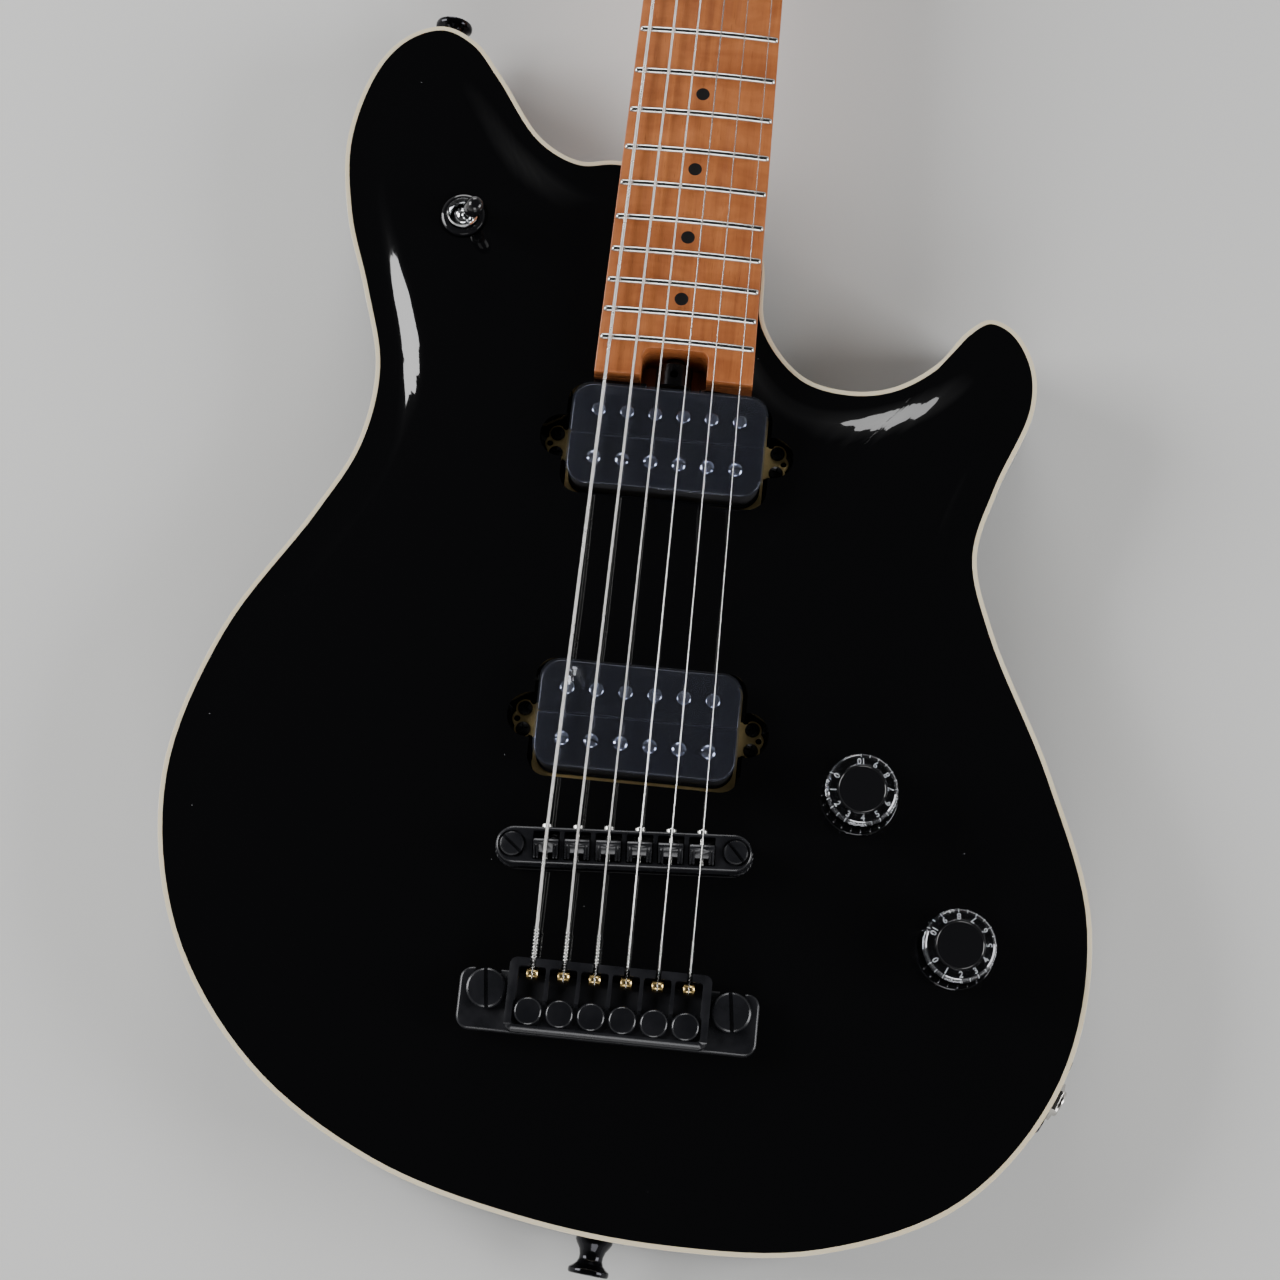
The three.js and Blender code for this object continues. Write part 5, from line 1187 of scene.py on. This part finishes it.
sideways = Matrix(((0, 0, 1, 0), (1, 0, 0, 0), (0, 1, 0, 0), (0, 0, 0, 1)))
SCREW_HEIGHT = 57.4
saddle_screws = []
for number in range(1, 7):
    x = (number - 3.5) * SADDLE_PITCH
    radius = STRING_DIAMETERS[number - 1] / 2
    high = STRING_CREST - crown(x) - radius - 0.3
    profile = [
        (-2.4, 55.1), (2.4, 55.1), (2.4, high - 2.4), (1.9, high - 0.5), (1.2, high),
        (0.7, high - 0.05), (-2.4, high - 2.1),
    ]
    saddle = stand(outline_plate(profile, -4.17, 4.17), sideways)
    soften(saddle, 0.18, 2, 40)
    for offset in (-3.75, -2.7, 2.7, 3.75):
        fin = [
            (-0.2, high - 1.4), (-0.2, high - 0.15), (-4.4, 61.7), (-4.6, 61.2), (-4.6, 60.75),
            (-2.3, 60.75), (-1, 59.5),
        ]
        rib = stand(outline_plate(fin, offset - 0.28, offset + 0.28), sideways)
        soften(rib, 0.08, 1, 60)
        weld(saddle, rib)
    for offset in (-3.2, 3.2):
        bed = [(0.6, high - 2.5), (0.6, high - 0.6), (-4.3, 61.1), (-4.3, 60.75), (-2.2, 60.75)]
        web = stand(outline_plate(bed, offset - 0.9, offset + 0.9), sideways)
        weld(saddle, web)
    for lean in (-90, 101.6):
        groove = disc(radius + 0.25, -0.2, 9, sides=20)
        place = at(0, 1.2, STRING_CREST - 0.4 - crown(x)) @ at(0, 0, 0, "X", lean)
        carve(saddle, stand(groove, place))
    bore = disc(1.05, -5, 5, sides=20)
    carve(saddle, stand(bore, at(0, 0, SCREW_HEIGHT) @ crossways))
    stand(saddle, BRIDGE_FRAME @ at(x, 0, 0))
    fix(saddle, "saddle_%d_block" % number, satin_black, "saddle_%d" % number,
        "black_hardware", "saddle_%d" % number)
    screw = turned([
        (0, -11.3), (0.85, -11.3), (0.85, 0), (1.75, 0), (1.75, 1), (1.45, 1.4), (0, 1.5),
    ], 24)
    carve(screw, plate(4, 0.45, 0.9, 2, 0))
    place = BRIDGE_FRAME @ at(x, 6.35, SCREW_HEIGHT) @ lying
    saddle_screws.append(stand(screw, place @ at(0, 0, 0, "Z", 37 * number)))
fix(join(*saddle_screws), "saddle_screws", nickel_silver, "guitar", "plain_steel")

# ------------------------------------------------------------------ tailpiece
# One satin black casting on two big slotted studs. Six open bays hold the strings' balls
# behind a slotted lip, and a low shelf with six chamfered discs lies behind them.

TAIL_LOW = 48.8
block = plate(67.4, 24.6, TAIL_LOW, 58, 2.6, y=-53.8)
edit(block)
choose(block, "edges", lambda e: all(
    v.co.z > 57.9 * MM and v.co.y < -64 * MM for v in e.verts
))
bpy.ops.mesh.bevel(offset=2.6 * MM, segments=3, affect="EDGES")
close_edit()
for k in range(6):
    carve(block, plate(9.2, 12.4, 52, 60, 0.9, x=(k - 2.5) * SADDLE_PITCH, y=-50.4, steps=3))
    carve(block, plate(1.9, 6, 53.6, 60, 0, x=(k - 2.5) * SADDLE_PITCH, y=-42))
carve(block, plate(62.6, 8.4, 56.4, 60, 1.2, y=-59.5, steps=3))
wings = plate(100, 20.5, TAIL_LOW, 54, 4, y=-56)
soften(wings, 0.9, 3, 50)
for side in (-1, 1):
    x = side * STUD_X
    carve(wings, disc(4.3, 40, 60, x, STUD_Y), plate(8.6, 16, 40, 60, 0, x, STUD_Y + 8))
weld(wings, block)
soften(wings, 0.3, 2, 55)
fix(wings, "tailpiece_casting", satin_black, "guitar", "black_hardware", "tailpiece")

shelf_disc = turned([
    (0, 55), (4.7, 55), (4.7, 57.5), (4.55, 57.75), (4.15, 58.1), (3.9, 58.2), (0, 58.2),
], 48)
shelf_discs = [
    stand(copy_of(shelf_disc), at((k - 2.5) * SADDLE_PITCH, -59, 0)) for k in range(6)
]
discard(shelf_disc)
disc_finish = black_metal(
    "chamfered disc", (0.011, 0.0115, 0.014), (0.026, 0.026, 0.032), 0.2, 0.25, 0.4,
    Metallic=0.4, Coat_Weight=0.4, Coat_Roughness=0.12,
)
fix(join(*shelf_discs), "tailpiece_discs", disc_finish, "guitar", "black_hardware")

for side, x in (("bass", -STUD_X), ("treble", STUD_X)):
    stud = turned([
        (0, 26), (3.2, 26), (3.9, 27.5), (3.9, 47.6), (6.4, 47.6), (6.6, 47.8), (6.6, 48.3),
        (6.4, 48.5), (3.9, 48.5), (3.9, 54.3), (6.4, 54.3), (6.7, 54.6), (6.7, 55.9),
        (6.45, 56.5), (5.9, 56.85), (0, 56.9),
    ], 56)
    slot = plate(16, 1.3, 55.5, 60, 0)
    carve(stud, stand(slot, at(0, 0, 0, "Z", 97)))
    fix(stand(stud, at(x, STUD_Y, 0)), "tail_stud_%s_bolt" % side, satin_black, "guitar",
        "black_hardware", "tail_stud_" + side)

# ------------------------------------------------------------------ strings
# Steel: the three lowest are wound and the rest are plain. Each starts at a brass ball with
# a lock twist, runs over its saddle and the nut, and is wrapped round its post.


def wire(points, radius, sides=8):
    """A round wire through points in metres, its radius in millimetres."""
    curve = bpy.data.curves.new("wire", "CURVE")
    curve.dimensions = "3D"
    curve.bevel_depth = radius * MM
    curve.bevel_resolution = max(sides // 4 - 1, 0)
    curve.use_fill_caps = True
    path = curve.splines.new("POLY")
    path.points.add(len(points) - 1)
    for spot, place in zip(path.points, points):
        spot.co = (*place, 1)
    piece = bpy.data.objects.new("wire", curve)
    bpy.context.collection.objects.link(piece)
    select_only(piece)
    bpy.ops.object.convert(target="MESH")
    edit(piece)
    bpy.ops.mesh.remove_doubles(threshold=1e-7)
    close_edit()
    return piece


def coil(radius, length, turns, steps=14, start=0.0, hand=1):
    """The points of a coil about Z, from its foot, in metres."""
    count = int(turns * steps)
    points = []
    for k in range(count + 1):
        angle = start + hand * 2 * math.pi * turns * k / count
        height = length * k / count
        points.append(Vector((radius * math.cos(angle), radius * math.sin(angle), height)) * MM)
    return points


string_steel = bright_metal(
    "string steel", (0.72, 0.72, 0.71), (0.42, 0.40, 0.37), 0.17, 0.3, 0.35
)
wound_steel, tree, shader = new_finish("wound string", Metallic=1.0)
wraps = node(
    tree, "ShaderNodeTexWave", {"Vector": own_place(tree), "Scale": 900, "Detail": 0},
    wave_type="BANDS", bands_direction="Y",
).outputs["Fac"]
dull = noise(tree, 160, 4)
feed(
    tree, shader, Base_Color=mixed(tree, dull, (0.80, 0.79, 0.77), (0.50, 0.49, 0.47)),
    Roughness=maths(tree, "MULTIPLY_ADD", dull, 0.2, 0.2),
    Normal=bumped(tree, wraps, 0.8, 0.0001),
)
ball_brass = bright_metal("ball brass", (0.80, 0.58, 0.24), (0.40, 0.26, 0.10), 0.16, 0.2, 0.5)

balls = []
for number in range(1, 7):
    radius = STRING_DIAMETERS[number - 1] / 2
    ball, over_saddle, over_nut, post = string_route(number)
    metal = wound_steel if number < 4 else string_steel
    start = ball + (over_saddle - ball).normalized() * 1.2 * MM
    string = wire([start, over_saddle, over_nut, post], radius)
    fix(string, "string_%d_wire" % number, metal, "guitar", "plain_steel", "string_%d" % number,
        angle=60)
    thin = 0.25 if number < 4 else 0.18
    twist = coil(radius + thin * 0.8, 13.5, 12, 12)
    angles = [math.pi * (0.5 - 2 * k / 20) for k in range(21)]
    loop = [Vector((2.15 * math.cos(a), 0, -0.2 + 2.15 * math.sin(a))) * MM for a in angles]
    leaning = aimed(ball, over_saddle)
    twist = wire([leaning @ (p + Vector((0, 0, 2 * MM))) for p in twist], thin, 8)
    turn = Matrix.Translation(ball) @ Matrix.Rotation(math.pi / 2, 4, "Z")
    loop = wire([turn @ p for p in loop], thin, 8)
    fix(join(twist, loop), "string_%d_twist" % number, string_steel, "guitar", "plain_steel",
        angle=60)
    ring = turned([
        (1, -1.9), (1.9, -1.9), (2, -1.75), (1.7, -1.2), (1.55, 0), (1.7, 1.2), (2, 1.75),
        (1.9, 1.9), (1, 1.9),
    ], 28)
    balls.append(stand(ring, Matrix.Translation(ball) @ outwards))
    x, y = TUNER_PLACES[number]
    hand = 1 if x < 0 else -1
    around = 3 + radius + 0.12
    turns = coil(around, 2 * radius * 3 + 1.4, 3.25, 20, 0 if x < 0 else math.pi, hand)
    end = turns[-1]
    turns += [end * 0.2 + Vector((0, 0, end.z * 0.8 + 0.4 * MM)),
              Vector((-end.x, -end.y, end.z + 0.6 * MM))]
    place = HEAD_FRAME @ at(x, y, 4)
    fix(wire([place @ p for p in turns], radius, 8), "string_%d_winding" % number, metal,
        "tuner_post_%d" % number, "plain_steel", angle=60)
fix(join(*balls), "string_balls", ball_brass, "guitar", "brass_metal")

# ------------------------------------------------------------------ knobs
# Black cores under clear acrylic shells. White numerals stand round each core with their
# feet outwards, with a scale of short lines on the slope outside them.

core_finish = polished(
    "knob core", (0.006, 0.006, 0.007), (0.3, 0.3, 0.3), 0.1, shine=0.12, dust=0.2
)
acrylic, tree, shader = new_finish("clear acrylic", Transmission_Weight=1.0, IOR=1.49)
smudge = noise(tree, 130, 5)
feed(
    tree, shader, Base_Color=mixed(tree, smudge, (0.96, 0.97, 1.0), (0.90, 0.92, 0.98)),
    Roughness=maths(tree, "MULTIPLY_ADD", smudge, 0.05, 0.0),
)
numeral_paint, tree, shader = new_finish("white paint", Specular_IOR_Level=0.4)
thin_paint = noise(tree, 1500, 3)
feed(
    tree, shader, Base_Color=mixed(tree, thin_paint, (0.86, 0.87, 0.88), (0.62, 0.63, 0.66)),
    Roughness=maths(tree, "MULTIPLY_ADD", thin_paint, 0.2, 0.35),
)


def numeral(text, height):
    """A flat numeral, centred on the origin, its height in millimetres."""
    bpy.ops.object.text_add()
    piece = bpy.context.object
    piece.data.body = text
    piece.data.align_x = piece.data.align_y = "CENTER"
    piece.data.size = height * MM / 0.72
    piece.data.extrude = 0.03 * MM
    piece.data.offset = 0.06 * MM
    piece.data.resolution_u = 4
    select_only(piece)
    bpy.ops.object.convert(target="MESH")
    edit(piece)
    bpy.ops.mesh.remove_doubles(threshold=1e-7)
    close_edit()
    return piece


KNOBS = {"volume": (*VOLUME_PLACE, 49.207, 95.8), "tone": (*TONE_PLACE, 46.174, 155.8)}
for name, (x, y, base, ten) in KNOBS.items():
    top = base + 15
    place = at(x, y, 0)
    core = turned([
        (0, 28.1), (3, 28.1), (3, base + 6), (9.4, base + 6), (10.5, base), (12.4, base),
        (12.6, base + 1.4), (11.95, top - 2.7), (10.95, top - 1.3), (8.45, top - 1.3),
        (8.45, top - 0.2), (8.25, top), (7.9, top), (7.7, top - 0.15), (0, top - 0.15),
    ], 64)
    fix(stand(core, place), name + "_knob_core", core_finish, name + "_knob", "knob_plastic",
        name + "_knob")
    shell = turned([
        (12.45, base), (13.2, base), (13.2, base + 1.2), (12.95, base + 2), (12.3, top - 1.6),
        (12.05, top - 0.7), (11.5, top - 0.12), (10.9, top), (8.5, top), (8.5, top - 1.25),
        (11, top - 1.25), (12, top - 2.65), (12.65, base + 1.4),
    ], 64)
    fix(stand(shell, place), name + "_knob_shell", acrylic, name + "_knob", "knob_plastic")
    marks = []
    for number in range(11):
        heading = ten + (number - 10) * 30
        figure = numeral(str(number), 2.05)
        away = at(0, 0, top - 1.27, "Z", heading) @ at(9.72, 0, 0, "Z", 90)
        marks.append(stand(figure, place @ away))
    tilt = Matrix.Rotation(math.radians(54.5), 4, "Y")
    for k in range(21):
        heading = ten - k * 15
        line = plate(1.5 if k % 2 else 1.7, 0.26, -0.02, 0.04, 0)
        slope = at(0, 0, 0, "Z", heading) @ at(11.47, 0, top - 1.98) @ tilt
        marks.append(stand(line, place @ slope))
        upright = Matrix.Rotation(math.radians(86.7), 4, "Y")
        line = plate(0.9 if k % 2 else 1.6, 0.3, -0.02, 0.05, 0)
        side = at(0, 0, 0, "Z", heading) @ at(12.5, 0, base + 3.2) @ upright
        marks.append(stand(line, place @ side))
    fix(join(*marks), name + "_knob_scale", numeral_paint, name + "_knob", "knob_plastic")

# ------------------------------------------------------------------ pots
# Steel cans in the control cavity, each with a crimped rim, three tags and a threaded bush
# that comes up through the top and is held by a thin hexagonal nut under the knob.

can_steel = bright_metal(
    "plated can", (0.55, 0.55, 0.53), (0.34, 0.31, 0.26), 0.3, 0.5, 0.7
)
for name, (x, y, base, _) in KNOBS.items():
    can = turned([
        (0, 24.7), (11.3, 24.7), (11.9, 25.3), (11.9, 32.2), (12, 32.4), (12, 34.4),
        (10.4, 35.6), (4.1, 35.7), (4.1, base + 2.6), (3.45, base + 2.6), (3.45, 27.8), (0, 27.8),
    ], 48)
    nut_ring = disc(7, base - 1.4, base + 0.6, sides=6)
    washer = turned([
        (4.2, base - 1.65), (7.3, base - 1.65), (7.3, base - 1.42), (4.2, base - 1.42),
    ], 40)
    carve(nut_ring, disc(4.15, base - 3, base + 3))
    soften(nut_ring, 0.25, 2, 50)
    tags = [plate(2.4, 9, 32.9, 33.5, 0.9, x=s, y=-14, steps=3) for s in (-5, 0, 5)]
    pot = stand(join(can, nut_ring, washer, *tags), at(x, y, 0))
    fix(pot, name + "_pot_can", can_steel, "guitar", "plain_steel", name + "_pot")

# ------------------------------------------------------------------ pickup switch
# A three-way toggle. A black round nut holds its chromed bush in the top, and the chromed
# lever swings on a ball in the bush's dish, with a round black cap on its end.

chrome = bright_metal("chrome", (0.78, 0.79, 0.80), (0.60, 0.61, 0.62), 0.03, 0.05, 0.3)
SWITCH_FRAME = at(*SWITCH_PLACE, 0, "Z", -26)
frame_block = plate(26, 18, 14.5, 35.7, 1.2)
soften(frame_block, 0.3, 2, 50)
for s in (-1, 1):
    carve(frame_block, plate(18, 3, 13, 27, 0, y=s * 5.5))
tags = [plate(1, 3, 11.7, 15, 0, x=s) for s in (-9, -3, 3, 9)]
bush = turned([
    (4.4, 35), (5.7, 35), (5.7, 48.5), (5.3, 49.07), (4.95, 49.0), (4.75, 48.2), (4.4, 47),
], 48)
switch = stand(join(frame_block, bush, *tags), SWITCH_FRAME)
fix(switch, "switch_frame", chrome, "guitar", "chrome_metal", "switch_body")
ring = turned([
    (5.95, 45.17), (7.9, 45.17), (8, 45.3), (8, 46.5), (7.75, 47), (7.2, 47.35), (6.6, 47.47),
    (6.2, 47.42), (5.95, 47.2),
], 64)
gloss_black = polished(
    "gloss black plastic", (0.007, 0.007, 0.008), (0.3, 0.3, 0.3), 0.1, shine=0.05, dust=0.2
)
fix(stand(ring, SWITCH_FRAME), "switch_nut_ring", gloss_black, "guitar", "black_hardware",
    "switch_nut")
LEVER_FRAME = at(*SWITCH_PLACE, 43.867, "Z", -26) @ at(0, 0, 0, "Y", 20)
angles = [math.radians(-68 + 136 * k / 16) for k in range(17)]
ball = [(3.9 * math.cos(a), 3.9 * math.sin(a)) for a in angles]
lever = turned(
    [(0, -6), (1.4, -6), (1.45, -3.7), *ball, (1.4, 3.9), (1.3, 11.4), (0, 11.4)], 40
)
fix(stand(lever, LEVER_FRAME), "switch_lever_arm", chrome, "switch_lever", "chrome_metal",
    "switch_lever")
cap = turned([
    (0, 10.9), (1.5, 10.9), (2, 11.1), (2.9, 12.6), (3.4, 14.6), (3.5, 16.5), (3.4, 18.4),
    (2.95, 20.2), (2.1, 21.5), (1, 21.95), (0, 22),
], 48)
fix(stand(cap, LEVER_FRAME), "switch_lever_cap", gloss_black, "switch_lever", "knob_plastic",
    angle=60)

# ------------------------------------------------------------------ jack
# A square black plate screwed to a flat on the side. The socket's threaded sleeve comes
# through it and is held by a washer and a hexagonal nut, and a spring lies behind.

JACK_AXIS = JACK_FRAME @ outwards
face = plate(27, 27, -0.9, 0.9, 4)
carve(face, disc(4.9, -3, 3))
small_sink = turned([
    (0, -3), (1.45, -3), (1.45, -1.4), (2.75, -0.1), (2.75, 0.5), (0, 0.5),
])
small_screw = cross_screw(
    [(0, -11), (0.3, -10.5), (1.3, -8.5), (1.3, -1.35), (2.6, -0.15), (2.4, 0.05), (1.2, 0.13),
     (0, 0.15)],
    1.6, 0.85, 0.15, 24,
)
screws = []
for x in (-10, 10):
    for y in (-10, 10):
        spot = at(x, y, 0.85)
        carve(face, stand(copy_of(small_sink), spot))
        turned_screw = stand(copy_of(small_screw), spot @ at(0, 0, 0, "Z", 5 * x + 3 * y))
        screws.append(stand(turned_screw, JACK_AXIS))
soften(face, 0.35, 3, 50)
fix(stand(face, JACK_AXIS), "jack_face_plate", satin_black, "guitar", "black_hardware",
    "jack_plate")
fix(join(*screws), "jack_screws", black_steel, "guitar", "black_hardware")
sleeve = turned([
    (3.6, -15.2), (4.7, -15.2), (4.7, 4.3), (4.4, 4.75), (3.95, 4.8), (3.6, 4.5),
], 40)
hexagon = disc(7, 1.25, 3.4, sides=6)
carve(hexagon, disc(4.75, 0, 5, sides=40))
soften(hexagon, 0.35, 2, 50)
washer = turned([(4.8, 0.95), (7.4, 0.95), (7.4, 1.2), (4.8, 1.2)], 40)
collar = turned([(4.72, -3), (6.4, -3), (6.4, -1.1), (4.72, -1.1)], 40)
spring = plate(3, 1, -15, -2.8, 0, y=-6)
socket = stand(join(sleeve, hexagon, washer, collar, spring), JACK_AXIS)
nickel = bright_metal("nickel plate", (0.62, 0.60, 0.57), (0.42, 0.38, 0.32), 0.12, 0.2, 0.4)
fix(socket, "jack_sleeve", nickel, "guitar", "chrome_metal", "jack_socket")

# ------------------------------------------------------------------ strap buttons
# Turned black metal buttons with a waist and a wide rim, each held by a cross-headed screw
# sunk in its face and bedded on a ring of felt.

felt, tree, shader = new_finish("black felt", Sheen_Weight=0.6, Roughness=0.95)
fibres = noise(tree, 2200, 6)
feed(
    tree, shader, Base_Color=mixed(tree, fibres, (0.008, 0.008, 0.008), (0.05, 0.05, 0.05)),
    Normal=bumped(tree, fibres, 0.8, 0.0002),
)
for name, place in STRAP_FRAMES.items():
    axis = place @ outwards
    button = turned([
        (2.1, -1), (6, -1), (6.3, -0.7), (6.3, 0.8), (5.7, 2), (4.6, 3.6), (4.05, 5.4),
        (4.05, 6.8), (4.6, 8.2), (5.8, 9.3), (6.8, 9.9), (7, 10.3), (7, 11.3), (6.75, 11.8),
        (6.3, 12), (4.4, 12), (4.1, 11.8), (2.1, 10.4),
    ], 56)
    fix(stand(button, axis), "strap_button_%s_turning" % name, mirror_black, "guitar",
        "black_hardware", "strap_button_" + name)
    screw = cross_screw(
        [(0, -15), (0.3, -14.5), (1.8, -11), (1.8, 10.1), (3.9, 11.5), (3.6, 11.75),
         (2, 11.95), (0, 12)],
        2.3, 1.5, 12, 32,
    )
    stand(screw, axis @ at(0, 0, 0, "Z", 24))
    fix(screw, "strap_screw_" + name, black_steel, "guitar", "black_hardware")
    ring = turned([(2.2, -1.28), (7, -1.28), (7.2, -1.15), (7, -1.02), (2.2, -1.02)], 48)
    fix(stand(ring, axis), "strap_felt_" + name, felt, "guitar", "cover_plastic")

# ------------------------------------------------------------------ tuners
# Six sealed black tuners, three a side. Each has a hexagonal bush on the front, a drilled
# post, a case on the back with a sleeve for its shaft, and a kidney-shaped button.

WORM_HEIGHT = -19.3
WORM_OFFSET = 6.2
tab = bends(
    ((0, -3), (4, -3), (3, -8.5), (8, -8.5)), ((8, -8.5), (14, -8.5), (14, -4), (14, 0)),
    ((14, 0), (14, 4), (14, 8.5), (8, 8.5)), ((8, 8.5), (3, 8.5), (4, 3), (0, 3)),
) + [(0, 3)]
button = outline_plate(tab, -3, 3)
soften(button, 1.5, 4, 50)
case = plate(16, 20, -24.3, -14.35, 3.4, y=2)
edit(case)
choose(case, "edges", lambda e: all(v.co.z < -24.2 * MM for v in e.verts))
bpy.ops.mesh.bevel(offset=1.6 * MM, segments=4, affect="EDGES")
close_edit()
weld(case, disc(5.4, -24.9, -20, sides=48))
soften(case, 0.2, 2, 50)
bush = turned([
    (3.35, -14.4), (4.75, -14.4), (4.75, 0.1), (6.6, 0.1), (6.6, 0.55), (6.4, 0.7), (3.35, 0.7),
], 40)
hexagon = disc(5.9, 0.72, 2.2, sides=6)
carve(hexagon, disc(3.4, 0, 4))
soften(hexagon, 0.3, 2, 50)
for number, (x, y) in TUNER_PLACES.items():
    side = math.copysign(1, x)
    around = at(0, 0, 0) if side > 0 else at(0, 0, 0, "Z", 180)
    sleeve = turned([
        (1.95, 7.5), (3.6, 7.5), (3.6, 11.5), (3, 13.2), (2.8, 16.9), (1.95, 16.9),
    ], 32)
    stand(sleeve, at(0, WORM_OFFSET, WORM_HEIGHT) @ around @ outwards)
    fixing = stand(copy_of(small_screw), at(-side * 4.8, 9.2, -24.2) @ over)
    parts = [copy_of(case), copy_of(bush), copy_of(hexagon), sleeve, fixing]
    fix(stand(join(*parts), HEAD_FRAME @ at(x, y, 0)), "tuner_%d_case" % number, satin_black,
        "guitar", "black_hardware", "tuner_housing_%d" % number)
    post = turned([
        (0, -22), (3, -22), (3, 15.6), (2.7, 16), (2.7, 16.5), (3, 16.9), (3, 18), (2.6, 18.8),
        (1.8, 19), (0, 19),
    ], 40)
    radius = STRING_DIAMETERS[number - 1] / 2
    hole = disc(0.95, -5, 5, sides=24)
    height = 4 + 6 * radius + 1.4 + 0.45
    carve(post, stand(hole, at(0, 0, height) @ crossways))
    fix(stand(post, HEAD_FRAME @ at(x, y, 0)), "tuner_%d_post" % number, satin_black,
        "tuner_post_%d" % number, "black_hardware", "tuner_post_%d" % number)
    shaft = stand(disc(1.75, -15.5, 2.5, sides=28), at(-2, 0, 0) @ outwards)
    collar = turned([(1.76, -1.6), (2.9, -1.6), (3.1, -1.2), (3.1, 0.4), (1.76, 0.4)], 32)
    stand(collar, outwards)
    end_screw = stand(copy_of(small_screw), at(13.75, 0, 0) @ outwards)
    grip = join(copy_of(button), shaft, collar, end_screw)
    place = HEAD_FRAME @ at(side * 42, y + WORM_OFFSET, WORM_HEIGHT) @ around
    fix(stand(grip, place), "tuner_%d_grip" % number, satin_black, "tuner_button_%d" % number,
        "black_hardware", "tuner_button_%d" % number)
discard(button, case, bush, hexagon)

# ------------------------------------------------------------------ back covers
# Black plastic covers let in flush with the back, with softened edges and small countersunk
# screws: one over the controls and one over the switch.

cover_finish = polished(
    "cover plastic", (0.013, 0.013, 0.014), (0.2, 0.2, 0.2), 0.5, shine=0.34, dust=0.3
)
COVER_SCREWS = {
    "control": [(*VOLUME_PLACE, 25, 121), (*VOLUME_PLACE, 25, 215), (*TONE_PLACE, 25, 31),
                (*WELL_FOOT, 17, 301), (*WELL_FOOT, 17, 230)],
    "switch": [(*SWITCH_PLACE, 23, heading) for heading in (90, 210, 330)],
}
for name, wells in (("control", control_wells), ("switch", switch_wells)):
    cover = spread_shape(wells, 6, 0, 2)
    screws = []
    for x, y, reach, heading in COVER_SCREWS[name]:
        angle = math.radians(heading)
        spot = at(x + reach * math.cos(angle), y + reach * math.sin(angle), 0.22) @ over
        carve(cover, stand(copy_of(small_sink), spot))
        screws.append(stand(copy_of(small_screw), spot @ at(0, 0, 0, "Z", 2 * heading)))
    soften(cover, 0.35, 3, 50)
    fix(cover, name + "_back_cover", cover_finish, "guitar", "cover_plastic", name + "_cover")
    fix(join(*screws), name + "_cover_screws", black_steel, "guitar", "black_hardware")
discard(small_sink, small_screw)

# ------------------------------------------------------------------ floor and light
# A plain pale floor, and large soft lights low at the sides. The light falls off overhead,
# so that the top's mirror stays dark.

bpy.ops.mesh.primitive_plane_add(size=12, location=(0, 0.2, cad_low.z - 0.0004))
floor = bpy.context.object
floor.name = "floor"
floor_finish, tree, shader = new_finish("floor paper", Roughness=0.75)
shader.inputs["Base Color"].default_value = (0.72, 0.72, 0.71, 1)
floor.data.materials.append(floor_finish)
floor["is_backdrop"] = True

for name, place, size, power in (
    ("left light", (-1.75, 0.4, 0.9), 1.1, 44),
    ("right light", (1.7, -0.1, 0.8), 1.0, 28),
    ("tail light", (0.1, -1.9, 0.9), 1.2, 20),
    ("head light", (-0.4, 2.3, 0.8), 1.1, 20),
):
    bpy.ops.object.light_add(type="AREA", location=place)
    lamp = bpy.context.object
    lamp.name = name
    lamp.data.size = size
    lamp.data.energy = power
    aim = Vector((0, 0.1, 0)) - Vector(place)
    lamp.rotation_euler = aim.to_track_quat("-Z", "Y").to_euler()

world = bpy.data.worlds.new("studio")
world.use_nodes = True
bpy.context.scene.world = world
tree = world.node_tree
heading = node(tree, "ShaderNodeTexCoord").outputs["Generated"]
height = node(tree, "ShaderNodeSeparateXYZ", {0: heading}).outputs["Z"]
glow = node(
    tree, "ShaderNodeMapRange",
    {"Value": height, "From Min": 0.1, "From Max": 0.75, "To Min": 0.55, "To Max": 0.03},
).outputs[0]
tree.links.new(glow, tree.nodes["Background"].inputs["Strength"])
tree.nodes["Background"].inputs["Color"].default_value = (1, 1, 1, 1)

# ------------------------------------------------------------------ sizes
# The box of the CAD model and the box of what is shown, for comparing the two.

size = {"cad": [list(cad_low), list(cad_high)], "visual": [list(v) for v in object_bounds()]}
